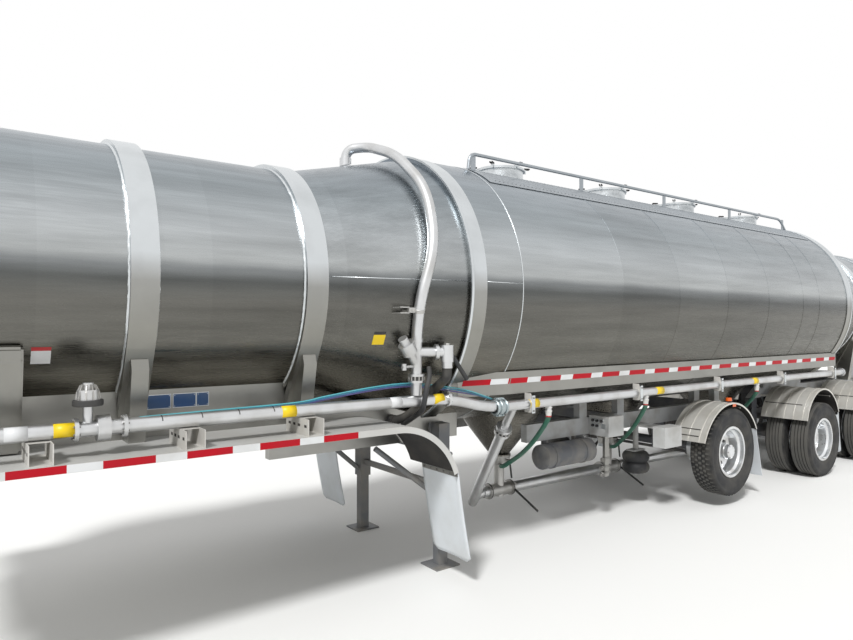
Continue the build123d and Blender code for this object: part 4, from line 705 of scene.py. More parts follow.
def buildLabels():
    shape = labelShape
    for colour, spans, material in (("Yellow", shape["yellow"], labelYellow), ("White", shape["white"], labelWhite)):
        bm = bmesh.new()
        for x0, x1 in spans:
            y, z = shape["pipe"] if x0 > shape["stepX"] else shape["rearPipe"]
            addWrap(bm, x0, x1, y, z, shape["radius"], shape["facing"] - shape["arc"] / 2,
                    shape["facing"] + shape["arc"] / 2)
        piece = newMesh("pipeLabels" + colour, bm, material, smooth=True)
    low, high = shape["plateZ"]
    back = shape["plateY"] + shape["edgeThick"]
    bm = bmesh.new()
    for x0, x1 in shape["plates"]:
        addBlock(bm, (x0, back, low), (x1, back + shape["plateThick"], high))
    plates = newMesh("bluePlates", bm, plateBlue)
    # the thin edge of bare metal round each plate, and its four rivets
    bm = bmesh.new()
    edge, inner = shape["edge"], shape["rivetIn"]
    for x0, x1 in shape["plates"]:
        addBlock(bm, (x0 - edge, shape["plateY"], low - edge), (x1 + edge, back, high + edge))
        for x in (x0 + inner, x1 - inner):
            for z in (low + inner, high - inner):
                addPrism(bm, (x, shape["plateY"] + 0.001, z), (x, shape["plateY"] + 0.0032, z), shape["rivet"], 10)
    edges = newMesh("plateRivets", bm, brightMetalAndHighlight)


buildLabels()
print("labels laid")


# Air line and discharge fittings

# ribbed cap of the relief valve, bolts of the pipe flanges, dark seals of the grooved couplings, the thin
# control hoses tied along the front pipe, and the sleeves on the hoses under the drops
fittingShape = {"flanges": ((7.42, 1.545), (6.366, 1.545), (6.110, 1.545), (3.67, 1.545), (3.08, 1.430)),
                "boltRing": 0.0575, "boltRadius": 0.006, "boltFrom": 0.010, "boltTo": 0.0185,
                "relief": (6.304, 1.100, 1.770), "fins": 10, "finHalf": 0.0035,
                "fin": ((0.024, -0.056), (0.068, -0.056), (0.061, -0.012), (0.044, 0.026), (0.026, 0.034)),
                "skirt": (-0.092, -0.058, 0.0815),
                "drops": (2.451, 0.929, -1.500), "lineY": 1.1, "dropFoot": 1.3547,
                "pipeRadius": 0.0445, "lineRadius": 0.0055, "tiesX": (5.9, 5.0), "tie": 0.24,
                "tieRadius": 0.0455, "tieWidth": 0.006, "tieTurns": (20, 190),
                "straps": [2.720 - 1.625 * i for i in range(5)], "strapHalf": 0.021, "strapY": (1.1623, 1.1683),
                "strapZ": (1.352, 1.512), "strapBolts": (1.374, 1.490),
                "bolt": 0.0085, "boltHeight": 0.008}
# the control lines: colour, place across, and how high each lies in the bundle
lineShape = (("lineBlue", lineBlue, 1.062, 0.0), ("lineTeal", lineTeal, 1.074, 0.004),
             ("lineViolet", lineViolet, 1.050, 0.010))
# two-part shell of the pipe coupling: its middle, the body's half length and radius, and its three ribs
shellShape = {"middle": (3.080, 1.100, 1.430), "body": (0.062, 0.0560), "ribRadius": 0.0672,
              "ribs": ((0.0, 0.020), (-0.052, 0.010), (0.052, 0.010)), "padZ": 0.070, "boltZ": 0.072, "bolt": 0.008}


def buildFlangeBolts():
    shape = fittingShape
    bm = bmesh.new()
    for x, z in shape["flanges"]:
        for cos, sin in around(8, math.pi / 8):
            y, height = shape["lineY"] + shape["boltRing"] * cos, z + shape["boltRing"] * sin
            for way in (1, -1):
                addPrism(bm, (x + way * shape["boltFrom"], y, height), (x + way * shape["boltTo"], y, height),
                         shape["boltRadius"], 6, bevel=0.001)
    piece = newMesh("flangeBolts", bm, nutMetal)


def buildReliefCap():
    shape = fittingShape
    x, y, low = shape["relief"]
    bm = bmesh.new()
    for cos, sin in around(shape["fins"]):
        skinRings(bm, [[bm.verts.new((x + r * cos - half * sin, y + r * sin + half * cos, low + h))
                        for r, h in shape["fin"]] for half in (-shape["finHalf"], shape["finHalf"])])
    bmesh.ops.recalc_face_normals(bm, faces=bm.faces)
    fins = newMesh("reliefFins", bm, castMetal)
    bm = bmesh.new()
    foot, top, radius = shape["skirt"]
    addPrism(bm, (x, y, low + foot), (x, y, low + top), radius, 40, bevel=0.004)
    ring = newMesh("reliefSkirt", bm, darkPlastic)


def buildSleeves():
    white, red = bmesh.new(), bmesh.new()
    y, foot = fittingShape["lineY"], fittingShape["dropFoot"]
    for x in fittingShape["drops"]:
        addPrism(white, (x, y, foot), (x, y, foot - 0.052), 0.031, 24, endRadius=0.0265, bevel=0.002)
        for z in (foot - 0.004, foot + 0.030):
            addPrism(white, (x, y, z), (x, y, z - 0.010), 0.035, 24, bevel=0.002)
        addPrism(red, (x, y, foot - 0.0525), (x, y, foot - 0.064), 0.0268, 24, bevel=0.001)
    sleeves = newMesh("hoseSleeves", white, paleNylon)
    bands = newMesh("hoseBands", red, bandRed)


def buildControlLines():
    # three thin lines that leave the front valves, lie on the pipe, rise behind the riser and end at the clamp
    r = fittingShape["lineRadius"]
    pipeY, pipeZ = labelShape["pipe"]
    for name, material, y, lift in lineShape:
        reach = fittingShape["pipeRadius"] + r + 0.001
        top = pipeZ + math.sqrt(max(reach ** 2 - (y - pipeY) ** 2, 0.0)) + 0.001
        points = [(6.02, y, top - 0.006), (5.6, y, top + lift * 0.3), (5.0, y - 0.004, top + 0.006 + lift),
                  (4.75, y - 0.012, top + 0.035 + lift), (4.35, y - 0.03, top + 0.075 + lift),
                  (4.0, y - 0.055, top + 0.085 + lift), (3.70, y - 0.05, top + 0.050 + lift),
                  (3.40, y - 0.035, top - 0.004 + lift), (3.12, y - 0.014, 1.494 + lift)]
        bm = bmesh.new()
        addTube(bm, curved(points, 6), r, 8)
        piece = newMesh(name, bm, material, smooth=True)
    bm = bmesh.new()
    x, last = fittingShape["tiesX"]
    while x > last:
        addWrap(bm, x, x + fittingShape["tieWidth"], pipeY, pipeZ, fittingShape["tieRadius"],
                *fittingShape["tieTurns"], 16)
        x -= fittingShape["tie"]
    ties = newMesh("lineTies", bm, darkPlastic, smooth=True)


def buildHangerStraps():
    # a flat strap with two bolts in front of each plate under the rail
    shape = fittingShape
    straps, bolts = bmesh.new(), bmesh.new()
    (back, front), (low, high) = shape["strapY"], shape["strapZ"]
    for x in shape["straps"]:
        addBlock(straps, (x - shape["strapHalf"], back, low), (x + shape["strapHalf"], front, high), bevel=0.0015)
        for z in shape["strapBolts"]:
            addPrism(bolts, (x, front, z), (x, front + shape["boltHeight"], z), shape["bolt"], 6, bevel=0.001)
    newMesh("hangerStraps", straps, brightMetalAndHighlight)
    newMesh("strapBolts", bolts, nutMetal)


def buildShells():
    shape = shellShape
    bm = bmesh.new()
    x, y, z = shape["middle"]
    half, radius = shape["body"]
    addPrism(bm, (x - half, y, z), (x + half, y, z), radius, 32, bevel=0.004)
    for offset, half in shape["ribs"]:
        addPrism(bm, (x + offset - half, y, z), (x + offset + half, y, z), shape["ribRadius"], 32, bevel=0.005)
    # bolt pads on top and below
    for way in (1, -1):
        pad, bolt = z + way * shape["padZ"], z + way * shape["boltZ"]
        addBlock(bm, (x - 0.045, y - 0.014, pad - 0.012), (x + 0.045, y + 0.014, pad + 0.012), bevel=0.004)
        for offset in (-0.028, 0.028):
            addPrism(bm, (x + offset, y - 0.030, bolt), (x + offset, y + 0.030, bolt), shape["bolt"], 6, bevel=0.001)
    newMesh("pipeShell", bm, zincShell)


def addToothedClamp(metal, seal, centre, direction, radius, half, teeth):
    # a ring of lugs over a dark seal, as on a grooved coupling
    forward, side, up = axes(direction)
    middle = Vector(centre)
    addPrism(seal, middle - forward * half, middle + forward * half, radius, 32)
    for cos, sin in around(teeth, math.pi / teeth):
        foot = middle + (side * cos + up * sin) * (radius + 0.003)
        addPrism(metal, foot - forward * (half + 0.001), foot + forward * (half + 0.001), 0.0065, 8)


# the riser's fittings: its two clamps, the band on the cone, the hose valve, its lever and the second hose
riserShape = {"valveClamp": (3.975, 1.100, 1.7238), "wyeClamp": (2.795, 0.850, 1.170),
              "wyeFoot": (2.500, 0.060, 0.262),
              "bandRun": (0.040, 0.105, 0.290), "bandFrom": (3.975, 1.100, 2.040), "bandAlong": 0.76,
              "bandHalf": 0.014, "bandRadius": 0.0475, "cheeks": (-0.026, 0.018), "cheekThick": 0.008,
              "hoseValve": (3.820, 1.165, 1.930), "valveTilt": (0.020, 0.045, 0.050), "valveBolt": 0.009,
              "lever": ((3.720, 1.195, 1.940), (3.540, 1.203, 1.705)), "grip": (0.12, 1.02, 0.0185),
              "hose": ((3.870, 1.125, 1.805), (3.895, 1.165, 1.744), (3.930, 1.181, 1.660), (3.953, 1.181, 1.560),
                       (3.945, 1.140, 1.475), (3.900, 0.980, 1.405), (3.862, 0.820, 1.340), (3.848, 0.730, 1.305)),
              "hoseRadius": 0.021}


def buildRiserFittings():
    shape = riserShape
    metal, seal, dark = bmesh.new(), bmesh.new(), bmesh.new()
    addToothedClamp(metal, seal, shape["valveClamp"], (0, 0, 1), 0.0575, 0.0158, 12)
    run = Vector(shape["wyeClamp"]) - Vector(shape["wyeFoot"])
    addToothedClamp(metal, seal, shape["wyeClamp"], run, 0.0758, 0.012, 14)
    # band and welded foot that hold the riser to the cone
    run = Vector(shape["bandRun"])
    band = Vector(shape["bandFrom"]) + run * shape["bandAlong"]
    step = run.normalized() * shape["bandHalf"]
    addPrism(metal, band - step, band + step, shape["bandRadius"], 28, bevel=0.001)
    addBlock(metal, (band.x + 0.040, band.y - 0.012, band.z - 0.020),
             (band.x + 0.105, band.y + 0.012, band.z + 0.020), bevel=0.003)
    for low in shape["cheeks"]:
        addBlock(metal, (band.x + 0.100, shape["bandFrom"][1] - 0.030, band.z + low),
                 (band.x + 0.185, band.y + 0.010, band.z + low + shape["cheekThick"]))
    addPrism(metal, (band.x + 0.075, band.y + 0.012, band.z), (band.x + 0.075, band.y + 0.022, band.z), 0.009, 6)
    # bolts of the hose valve, and the grip of its lever
    x, y, z = shape["hoseValve"]
    wide, deep, tall = shape["valveTilt"]
    for cos, sin in around(6):
        place = Vector((x + wide * cos, y + deep * cos, z + tall * sin))
        half = Vector((0.008, -0.003, 0.0))
        addPrism(metal, place - half, place + half, shape["valveBolt"], 6)
    addPrism(metal, (3.740, 1.195, 1.985), (3.740, 1.195, 2.000), 0.024, 6, bevel=0.002)
    addTube(dark, curved(shape["hose"], 6), shape["hoseRadius"], 14)
    start, end = [Vector(place) for place in shape["lever"]]
    near, far, radius = shape["grip"]
    addPrism(dark, start + (end - start) * near, start + (end - start) * far, radius, 12, bevel=0.003)
    newMesh("riserMetal", metal, castMetal)
    newMesh("riserSeals", seal, darkPlastic)
    newMesh("leverGrip", dark, darkPlastic)


# blank stickers on the shell: a yellow one with a dark head on the cone, a white one with a red head on the
# front barrel; nothing is printed on either
stickerShape = {"cone": (4.214, 4.308, 1.992, 2.092, 0.023), "barrel": (6.462, 6.564, 1.912, 2.012, 0.022),
                "lift": 0.0016, "coneFront": 4.690, "coneLength": 1.130, "small": 0.985, "wider": 0.265,
                "axisZ": 2.470}


def shellRadius(x):
    shape = stickerShape
    return shape["small"] + max(shape["coneFront"] - x, 0.0) / shape["coneLength"] * shape["wider"]


def addPatch(bm, x0, x1, z0, z1, lift):
    grid = []
    for i in range(5):
        x = x0 + (x1 - x0) * i / 4
        radius = shellRadius(x) + lift
        heights = [z0 + (z1 - z0) * k / 6 for k in range(7)]
        grid.append([bm.verts.new((x, math.sqrt(radius ** 2 - (z - stickerShape["axisZ"]) ** 2), z))
                     for z in heights])
    skinGrid(bm, grid)
    bmesh.ops.recalc_face_normals(bm, faces=bm.faces)
    for face in bm.faces:
        if face.normal.y < 0:
            face.normal_flip()


def buildStickers():
    for name, low, high in (("cone", labelYellow, darkPlastic), ("barrel", labelWhite, bandRed)):
        x0, x1, z0, z1, head = stickerShape[name]
        for part, material, bottom, top in (("Field", low, z0, z1 - head), ("Head", high, z1 - head, z1)):
            bm = bmesh.new()
            addPatch(bm, x0, x1, bottom, top, stickerShape["lift"])
            newMesh(name + "Sticker" + part, bm, material, smooth=True)


# welded box legs that carry the front barrel ahead of the middle hoop
cradleShape = {"x": (6.605, 6.830), "outline": ((0.623, 1.394), (0.812, 1.394), (0.935, 1.940), (0.925, 2.010),
                                                (0.880, 2.032), (0.800, 1.960), (0.623, 1.760)), "bevel": 0.014}


def buildCradles():
    bm = bmesh.new()
    for side in (1, -1):
        skinRings(bm, [[bm.verts.new((x, side * y, z)) for y, z in cradleShape["outline"]] for x in cradleShape["x"]])
    bmesh.ops.recalc_face_normals(bm, faces=bm.faces)
    bmesh.ops.bevel(bm, geom=list(bm.edges), offset=cradleShape["bevel"], segments=2, affect="EDGES")
    newMesh("cradleLegs", bm, plateMetal)


buildFlangeBolts()
buildReliefCap()
buildControlLines()
buildStickers()
buildCradles()
buildSleeves()
buildHangerStraps()
buildShells()
buildRiserFittings()
print("air line dressed")


# Lamps and small trim

# amber marker lamp and reflector of each steered fender, weld beads round the small barrels and along the
# cone, fillets of the hoops, and the ribs of the walkway
trimShape = {"beads": ((7.64, 0.9853), (-7.48, 0.9853), (2.965, 1.2852)), "tankAxis": 2.470,
             "bead": ((-0.007, -0.002), (-0.004, 0.0014), (0.0, 0.0024), (0.004, 0.0014), (0.007, -0.002)),
             "fillet": ((-0.011, -0.001), (-0.006, 0.004), (-0.001, 0.007), (0.002, 0.009)),
             "hoops": (7.155, 5.975, 4.795, -5.300, -6.400, -7.400), "hoopHalf": 0.085, "smallRadius": 0.985,
             "sideSeams": ((4.690, 0.985, 3.568, 1.250), (3.385, 1.2823, 2.973, 1.2823)), "sideLift": 0.035,
             "seam": 0.0035, "wobble": 0.0012, "ripple": 0.0009, "marker": (-0.60, 1.205, 1.2205),
             "markerBase": (0.030, 0.016), "markerLens": (0.037, 0.032, 0.058),
             "walkX": (-3.76, 2.86), "walkPitch": 0.055, "walkTurns": (54.5, 110.5), "walkArc": 15.0,
             "walkRadius": 1.2895, "rib": ((0.0, 0.0), (0.006, 0.003), (0.012, 0.003), (0.018, 0.0))}


def buildMarkers():
    x, y, z = trimShape["marker"]
    half, top = trimShape["markerBase"]
    foot, head, height = trimShape["markerLens"]
    for letter, side in (("l", 1), ("r", -1)):
        body = nodes["steer_fender_" + letter]["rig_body"]
        bm = bmesh.new()
        addBlock(bm, (x - half, side * y - half, z), (x + half, side * y + half, z + top), bevel=0.002)
        base = newMesh("markerBase" + letter.upper(), bm, darkPlastic, body)
        bm = bmesh.new()
        addPrism(bm, (x, side * y, z + top), (x, side * y, z + height), foot, 24, endRadius=head, bevel=0.005)
        # the reflector hangs on the outer edge of the fender
        addBlock(bm, (x - 0.032, side * (y + 0.0705), z - 0.045), (x + 0.042, side * (y + 0.0725), z - 0.012))
        lens = newMesh("markerLens" + letter.upper(), bm, amberLens, body)


def buildBeads():
    shape = trimShape
    axisZ = shape["tankAxis"]
    bm = bmesh.new()
    for x, radius in shape["beads"]:
        addRing(bm, (x, 0.0, axisZ), [(along, radius + lift) for along, lift in shape["bead"]], 160,
                axis="x")
    # a seam runs along each flank of the front cone and of the first course, just above the axis
    for x0, radius0, x1, radius1 in shape["sideSeams"]:
        for side in (1, -1):
            lift = shape["sideLift"]
            addTube(bm, [(x, side * math.sqrt(radius ** 2 - lift ** 2), axisZ + lift)
                         for x, radius in ((x0, radius0), ((x0 + x1) / 2, (radius0 + radius1) / 2), (x1, radius1))],
                    shape["seam"], 8)
    beads = newMesh("weldBeads", bm, brightMetalAndHighlight, smooth=True)
    # the fillet welds that hold the hoops are rippled, laid in short runs
    bm = bmesh.new()
    for x in shape["hoops"]:
        for way in (1, -1):
            edge = x + way * (shape["hoopHalf"] + 0.0005)
            addRing(bm, (edge, 0.0, axisZ),
                    [(-way * along, shape["smallRadius"] + lift) for along, lift in shape["fillet"]], 240, axis="x")
    for vertex in bm.verts:
        vertex.co.x += random.uniform(-shape["wobble"], shape["wobble"])
        ripple = 1 + random.uniform(-shape["ripple"], shape["ripple"])
        vertex.co.y *= ripple
        vertex.co.z = axisZ + (vertex.co.z - axisZ) * ripple
    welds = newMesh("hoopWelds", bm, brightMetalAndHighlight)


def buildWalkRibs():
    # cross ribs pressed into the two tread strips of the crown
    shape = trimShape
    bm = bmesh.new()
    low, high = shape["walkX"]
    for start in shape["walkTurns"]:
        turns = [math.radians(start + shape["walkArc"] * k / 4) for k in range(5)]
        for i in range(int((high - low) / shape["walkPitch"])):
            x = low + i * shape["walkPitch"]
            rows = []
            for dx, lift in shape["rib"]:
                radius = shape["walkRadius"] + lift
                rows.append([bm.verts.new((x + dx, radius * math.cos(turn),
                                           shape["tankAxis"] + radius * math.sin(turn))) for turn in turns])
            skinGrid(bm, rows)
    bmesh.ops.recalc_face_normals(bm, faces=bm.faces)
    ribs = newMesh("walkwayRibs", bm, walkMetal)


# the middles of the fenders' arcs, as (x, z)
deckArc, steeredArc = (4.255, 0.785), (-0.550, 0.560)
fixedArcs = ((-3.090, 0.700), (-4.920, 0.700), (-6.750, 0.700))
# the dark folds across the front end of each fender, as degrees up from its axle line: thin black strips of painted
# shade along the creases
foldShape = {"height": 0.011, "lift": 0.0045, "steered": (steeredArc, 0.662, (0.866, 1.190), (27.9, 35.3)),
             "fixed": (fixedArcs, 0.545, (0.660, 1.170), (37.8,))}


def addFolds(bm, centre, radius, span, angles, side):
    half = foldShape["height"] / 2
    low, high = sorted((side * span[0], side * span[1]))
    for degrees in angles:
        turn = Matrix.Translation((centre[0], 0, centre[1])) @ Matrix.Rotation(-math.radians(degrees), 4, "Y")
        addTurned(bm, turn, (radius - 0.001, low, -half), (radius + foldShape["lift"], high, half), 0.001)


def buildFenderFolds():
    centre, radius, span, angles = foldShape["steered"]
    for letter, side in (("l", 1), ("r", -1)):
        bm = bmesh.new()
        addFolds(bm, centre, radius, span, angles, side)
        folds = newMesh("steerFenderFolds" + letter.upper(), bm, paintedShadeBlack,
                        nodes["steer_fender_" + letter]["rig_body"])
    centres, radius, span, angles = foldShape["fixed"]
    bm = bmesh.new()
    for centre in centres:
        for side in (1, -1):
            addFolds(bm, centre, radius, span, angles, side)
    newMesh("fenderFolds", bm, paintedShadeBlack)


# cam levers of the manhole lids: two moulded grips on each; the lid's own levers stand at these turns
lidShape = {"x": (2.030, 0.200, -1.400, -3.200), "turns": (30, 90, 150, 210, 330), "reach": (0.262, 0.338),
            "gripZ": (3.8855, 3.9040), "offset": 0.012, "half": 0.0075}


def buildLidGrips():
    shape = lidShape
    for number, x in enumerate(shape["x"], start=1):
        bm = bmesh.new()
        for degrees in shape["turns"]:
            turn = Matrix.Translation((x, 0, 0)) @ Matrix.Rotation(math.radians(degrees), 4, "Z")
            for middle in (-shape["offset"], shape["offset"]):
                addTurned(bm, turn, (shape["reach"][0], middle - shape["half"], shape["gripZ"][0]),
                          (shape["reach"][1], middle + shape["half"], shape["gripZ"][1]), 0.004)
        grips = newMesh("lidGrips" + str(number), bm, darkPlastic, "lid_" + str(number),
                        smooth=True)


# the punched plates under the air line on the deck: four slots in the face that looks forwards, drawn as thin black
# blocks of painted shade in the place of holes
bracketShape = {"x": (7.335, 6.550, 5.740, 4.930), "slotY": (0.960, 1.035, 1.110, 1.210), "slotZ": 1.450,
                "half": (0.018, 0.009), "face": (0.0595, 0.0610)}


def buildBracketSlots():
    shape = bracketShape
    bm = bmesh.new()
    for x in shape["x"]:
        for y in shape["slotY"]:
            addBlock(bm, (x + shape["face"][0], y - shape["half"][0], shape["slotZ"] - shape["half"][1]),
                     (x + shape["face"][1], y + shape["half"][0], shape["slotZ"] + shape["half"][1]))
    newMesh("bracketSlotShade", bm, paintedShadeBlack)


# the rolled lips of the ring bands, beyond these two places, get the pale finish as a painted highlight
lipFront, lipRear = 3.533, -4.043
paintPart(nodes["ring_bands"], brightMetalAndHighlight, lambda face: face.center.x > lipFront or face.center.x < lipRear)
buildMarkers()
buildBeads()
buildWalkRibs()
buildFenderFolds()
buildLidGrips()
buildBracketSlots()
print("trim added")


# Mud flaps

# moulded sheets that bow a little, with rounded lower corners and a bolted strip along the top
flapShape = {"thick": 0.006, "corner": 0.055, "bow": 0.018, "rows": 22, "columns": 14, "strip": 0.040,
             "boltPitch": 0.085, "bolt": 0.0095, "stripFaces": ((-0.0040, -0.003), (0.0105, 0.003)),
             "boltFaces": ((-0.0075, -0.0125), (0.0135, 0.0185)),
             "deck": {"top": (3.6842, 0.9700), "foot": (3.5495, 0.2140), "span": (0.778, 1.268)},
             "tridem": {"radius": 0.545, "turn": 161.0, "slant": 0.085, "footZ": 0.2555, "span": (0.665, 1.268)}}


def addFlap(bm, top, foot, span, side):
    shape = flapShape
    run = Vector((foot[0] - top[0], 0, foot[1] - top[1]))
    length = run.length
    along = run.normalized()
    back = Vector((along.z, 0, -along.x))
    grid = []
    for lift in (0.0, shape["thick"]):
        sheet = []
        for i in range(shape["rows"] + 1):
            t = i / shape["rows"]
            # the lower corners are quarter rounds: each row there is drawn in to the arc
            over = t * length - (length - shape["corner"])
            inset = 0.0
            if over > 0:
                inset = shape["corner"] - math.sqrt(max(shape["corner"] ** 2 - over ** 2, 0.0))
            row = []
            for k in range(shape["columns"] + 1):
                u = k / shape["columns"]
                y = span[0] + inset + (span[1] - span[0] - 2 * inset) * u
                bow = shape["bow"] * (4 * u * (1 - u) * t * t * 0.6 - 0.5 * math.sin(math.pi * t))
                place = Vector((top[0], 0, top[1])) + along * (length * t) + back * (lift + bow)
                row.append(bm.verts.new((place.x, side * y, place.z)))
            sheet.append(row)
        grid.append(sheet)
    for sheet in grid:
        skinGrid(bm, sheet)
    front, rear = grid
    for i in (0, -1):
        skinGrid(bm, [front[i], rear[i]])
        skinGrid(bm, [[row[i] for row in front], [row[i] for row in rear]])


def addStripBolts(strips, bolts, top, foot, span, side):
    # the clamping strip and its bolts on the face towards the wheel
    shape = flapShape
    run = Vector((foot[0] - top[0], 0, foot[1] - top[1])).normalized()
    back = Vector((run.z, 0, -run.x))
    base = Vector((top[0], 0, top[1]))
    y0, y1 = span[0] + 0.01, span[1] - 0.01
    for out, thick in shape["stripFaces"]:
        rings = []
        for lift in (out, out + thick):
            ring = []
            for distance, y in ((0.004, y0), (0.004, y1), (shape["strip"], y1), (shape["strip"], y0)):
                place = base + run * distance + back * lift
                ring.append(strips.verts.new((place.x, side * y, place.z)))
            rings.append(ring)
        skinRings(strips, rings)
    place = base + run * (shape["strip"] / 2)
    y = span[0] + 0.045
    while y < span[1] - 0.03:
        for near, far in shape["boltFaces"]:
            a, b = place + back * near, place + back * far
            addPrism(bolts, (a.x, side * y, a.z), (b.x, side * y, b.z), shape["bolt"], 6, bevel=0.001)
        y += shape["boltPitch"]


def buildFlaps():
    shape = flapShape
    places = [(shape["deck"]["top"], shape["deck"]["foot"], shape["deck"]["span"])]
    tridem = shape["tridem"]
    turn = math.radians(tridem["turn"])
    for x, z in fixedArcs:
        top = (x + tridem["radius"] * math.cos(turn), z + tridem["radius"] * math.sin(turn))
        places.append((top, (top[0] - tridem["slant"], tridem["footZ"]), tridem["span"]))
    sheets, strips, bolts = bmesh.new(), bmesh.new(), bmesh.new()
    for top, foot, span in places:
        for side in (1, -1):
            addFlap(sheets, top, foot, span, side)
            addStripBolts(strips, bolts, top, foot, span, side)
    for bm in (sheets, strips):
        bmesh.ops.recalc_face_normals(bm, faces=bm.faces)
    piece = newMesh("flapSheets", sheets, flapPlastic, smooth=True)
    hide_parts("mudflaps")
    for polygon in piece.data.polygons:
        polygon.use_smooth = abs(polygon.normal.y) < 0.5
    newMesh("flapStrips", strips, plateMetal)
    newMesh("flapBolts", bolts, nutMetal)


buildFlaps()
print("flaps made")


# Undersides of the fenders

# black painted shade: it covers the faces of the fenders that look towards the wheel
shadedFaceArcs = {"deck_fenders": (deckArc,), "wheel_fenders": fixedArcs, "steer_fender_l": (steeredArc,),
              "steer_fender_r": (steeredArc,)}
# how far the fenders reach from the axle; where their plastic flaps begin; and the bare post under the box
paintShape = {"reach": 0.72, "flap": (-1.1415, 0.8575), "post": (1.18, 0.77), "postHalf": 0.05, "postTop": 0.94}


def facesWheel(centres, reach):
    def test(polygon):
        for x, z in centres:
            towards = Vector((x - polygon.center.x, 0, z - polygon.center.z))
            if towards.length < reach and towards.normalized().dot(polygon.normal) > 0.6:
                return True
        return False
    return test


def onFlap(face):
    x, z = paintShape["flap"]
    return face.center.x < x and face.center.z < z


def onPost(face):
    x, y = paintShape["post"]
    half = paintShape["postHalf"]
    return (abs(face.center.x - x) < half and abs(face.center.y - y) < half
            and face.center.z < paintShape["postTop"])


for name, centres in shadedFaceArcs.items():
    paintPart(nodes[name], paintedShadeBlack, facesWheel(centres, paintShape["reach"]))
for letter in "lr":
    paintPart(nodes["steer_fender_" + letter], flapPlastic, onFlap)
paintPart(nodes["boxes"], plateMetal, onPost)
print("undercoat laid")


# Hose box

# the dark knobs and the blank plate of the control box, the clamps and spare couplings on its post
boxShape = {"face": 1.3003, "rows": ((1.115, (0.700, 0.755, 0.810)), (1.060, (0.700, 0.755))), "knob": 0.017,
            "plate": (0.800, 0.860, 1.035, 1.085), "post": (1.180, 0.770),
            "clamps": ((0.545, 0.075), (0.610, 0.065), (0.700, 0.05))}


def buildHoseBox():
    shape = boxShape
    knobs, plates, clamps = bmesh.new(), bmesh.new(), bmesh.new()
    for z, columns in shape["rows"]:
        for y in columns:
            addPrism(plates, (shape["face"], y, z), (shape["face"] + 0.004, y, z), shape["knob"] + 0.006, 20,
                     bevel=0.001)
            addPrism(knobs, (shape["face"] + 0.004, y, z), (shape["face"] + 0.028, y, z), shape["knob"], 12,
                     endRadius=shape["knob"] * 0.85, bevel=0.003)
    y0, y1, z0, z1 = shape["plate"]
    addBlock(plates, (shape["face"], y0, z0), (shape["face"] + 0.002, y1, z1))
    x, y = shape["post"]
    for z, reach in shape["clamps"]:
        addPrism(clamps, (x + 0.035, y, z), (x + 0.035 + reach, y + 0.02, z - 0.02), 0.019, 16, bevel=0.002)
        addPrism(clamps, (x + 0.035 + reach * 0.55, y + 0.011, z - 0.011),
                 (x + 0.035 + reach * 0.80, y + 0.016, z - 0.016), 0.029, 16, bevel=0.003)
        addBlock(clamps, (x - 0.041, y - 0.021, z - 0.012), (x + 0.041, y + 0.021, z + 0.012), bevel=0.002)
    newMesh("boxKnobs", knobs, darkPlastic)
    newMesh("boxPlates", plates, brightMetalAndHighlight)
    newMesh("postClamps", clamps, nutMetal)


# Couplings of the discharge and blow lines

# two half shells bolted over a dark seal, with a lever or a pair of bolts
couplingShape = {"hoppers": (2.050, 0.150, -2.250), "middle": 0.162, "axisZ": 0.335, "seal": 0.0855,
                 "sealHalf": 0.006, "boltRing": 0.094, "boltTurn": 0.6, "boltHalf": 0.024, "lug": 0.012,
                 "valveLever": ((-0.045, 0.011), (0.1575, 0.1785), (0.44, 0.660)), "couplingLever": (0.150, 0.320)}


def onLever(face):
    # the grips of the butterfly valves' levers, and those of the couplings
    (x0, x1), (y0, y1), (z0, z1) = couplingShape["valveLever"]
    x, y, z = face.center
    if y0 < y < y1 and z0 < z < z1 and any(x0 < x - hopper < x1 for hopper in couplingShape["hoppers"]):
        return True
    return y > couplingShape["couplingLever"][0] and z < couplingShape["couplingLever"][1]


def buildCouplings():
    shape = couplingShape
    axisZ, half, lug = shape["axisZ"], shape["boltHalf"], shape["lug"]
    seals, shells = bmesh.new(), bmesh.new()
    for x in shape["hoppers"]:
        for middle in (x + shape["middle"], x - shape["middle"]):
            addPrism(seals, (middle - shape["sealHalf"], 0, axisZ), (middle + shape["sealHalf"], 0, axisZ),
                     shape["seal"], 36)
            for cos, sin in around(2, shape["boltTurn"]):
                y, z = shape["boltRing"] * cos, axisZ + shape["boltRing"] * sin
                addPrism(shells, (middle - half, y, z), (middle + half, y, z), 0.008, 6, bevel=0.001)
                addBlock(shells, (middle - lug, y - lug, z - lug), (middle + lug, y + lug, z + lug), bevel=0.002)
    newMesh("couplingSeals", seals, darkPlastic)
    paintPart(nodes["discharge_valves"], darkPlastic, onLever)
    newMesh("couplingBolts", shells, nutMetal)


buildHoseBox()
buildCouplings()
print("boxes and couplings dressed")


# Floor, light and camera

studio = {"floorColour": "#F2F2F0", "floorHalf": 60.0, "sunTurn": (0.62, 0.42, 0.80), "sunPower": 2.6,
          "sunSpread": 9.0, "worldLight": 0.62}


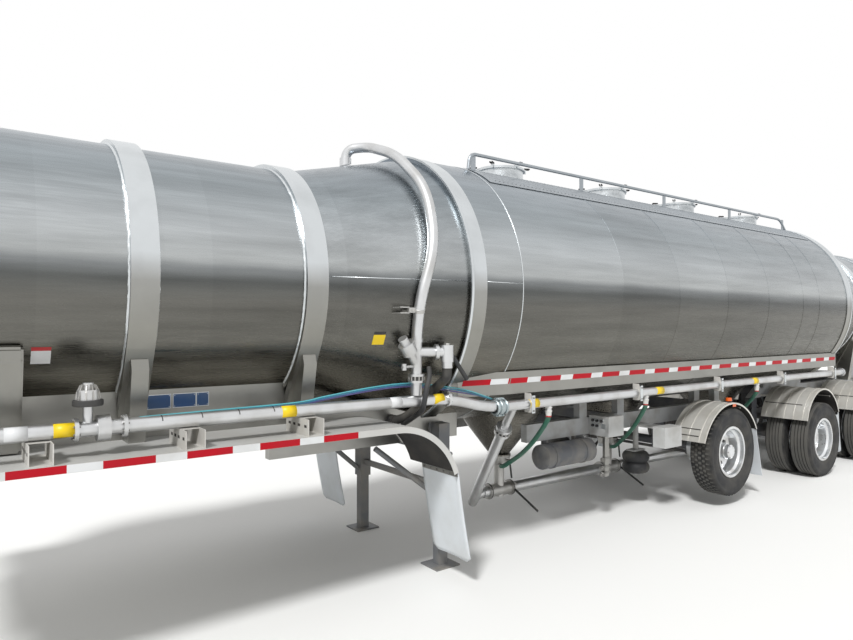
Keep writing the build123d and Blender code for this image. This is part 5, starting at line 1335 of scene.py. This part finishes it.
def buildStudio():
    floorMaterial, tree, shader, place = startMaterial("paleFloor", {"Roughness": 0.9})
    shader.inputs["Base Color"].default_value = toLinear(studio["floorColour"])
    bm = bmesh.new()
    half = studio["floorHalf"]
    corners = [bm.verts.new((x * half, y * half, 0)) for x, y in ((-1, -1), (1, -1), (1, 1), (-1, 1))]
    bm.faces.new(corners)
    floor = newMesh("studioFloor", bm, floorMaterial, None)

    world = bpy.data.worlds.new("studioWorld")
    bpy.context.scene.world = world
    world.use_nodes = True
    tree = world.node_tree
    tree.nodes.clear()
    # the camera, mirror and glass rays see plain white, and the rest of the light is the soft one
    ray = addNode(tree, "ShaderNodeLightPath")
    soft = addNode(tree, "ShaderNodeBackground", {"Strength": studio["worldLight"]})
    white = addNode(tree, "ShaderNodeBackground", {"Strength": 1.0})
    for node in (soft, white):
        node.inputs["Color"].default_value = (1, 1, 1, 1)
    mirrored = addNode(tree, "ShaderNodeMath", {"operation": "MAXIMUM"},
                       {0: ray.outputs["Is Glossy Ray"], 1: ray.outputs["Is Transmission Ray"]})
    seen = addNode(tree, "ShaderNodeMath", {"operation": "MAXIMUM"},
                   {0: ray.outputs["Is Camera Ray"], 1: mirrored.outputs[0]})
    mix = addNode(tree, "ShaderNodeMixShader", links={0: seen.outputs[0], 1: soft.outputs[0], 2: white.outputs[0]})
    addNode(tree, "ShaderNodeOutputWorld", links={"Surface": mix.outputs[0]})

    sun = bpy.data.lights.new("studioSun", "SUN")
    sun.energy = studio["sunPower"]
    sun.angle = math.radians(studio["sunSpread"])
    lamp = bpy.data.objects.new("studioSun", sun)
    lamp.rotation_euler = Vector(studio["sunTurn"]).to_track_quat("Z", "Y").to_euler()
    bpy.context.collection.objects.link(lamp)


viewPoint = {"place": (6.95, 5.215, 2.13), "turn": 53.23, "lift": 0.627, "lens": 27.01}


def buildCamera():
    camera = bpy.data.cameras.new("photoCamera")
    camera.lens = viewPoint["lens"]
    camera.sensor_width = 36.0
    camera.clip_end = 200.0
    rig = bpy.data.objects.new("photoCamera", camera)
    turn, lift = math.radians(viewPoint["turn"]), math.radians(viewPoint["lift"])
    forward = Vector((-math.cos(turn) * math.cos(lift), -math.sin(turn) * math.cos(lift), math.sin(lift)))
    rig.location = viewPoint["place"]
    rig.rotation_euler = forward.to_track_quat("-Z", "Y").to_euler()
    bpy.context.collection.objects.link(rig)
    bpy.context.scene.camera = rig


buildStudio()
buildCamera()
bpy.context.scene.view_settings.view_transform = "Standard"
print("studio and camera ready")
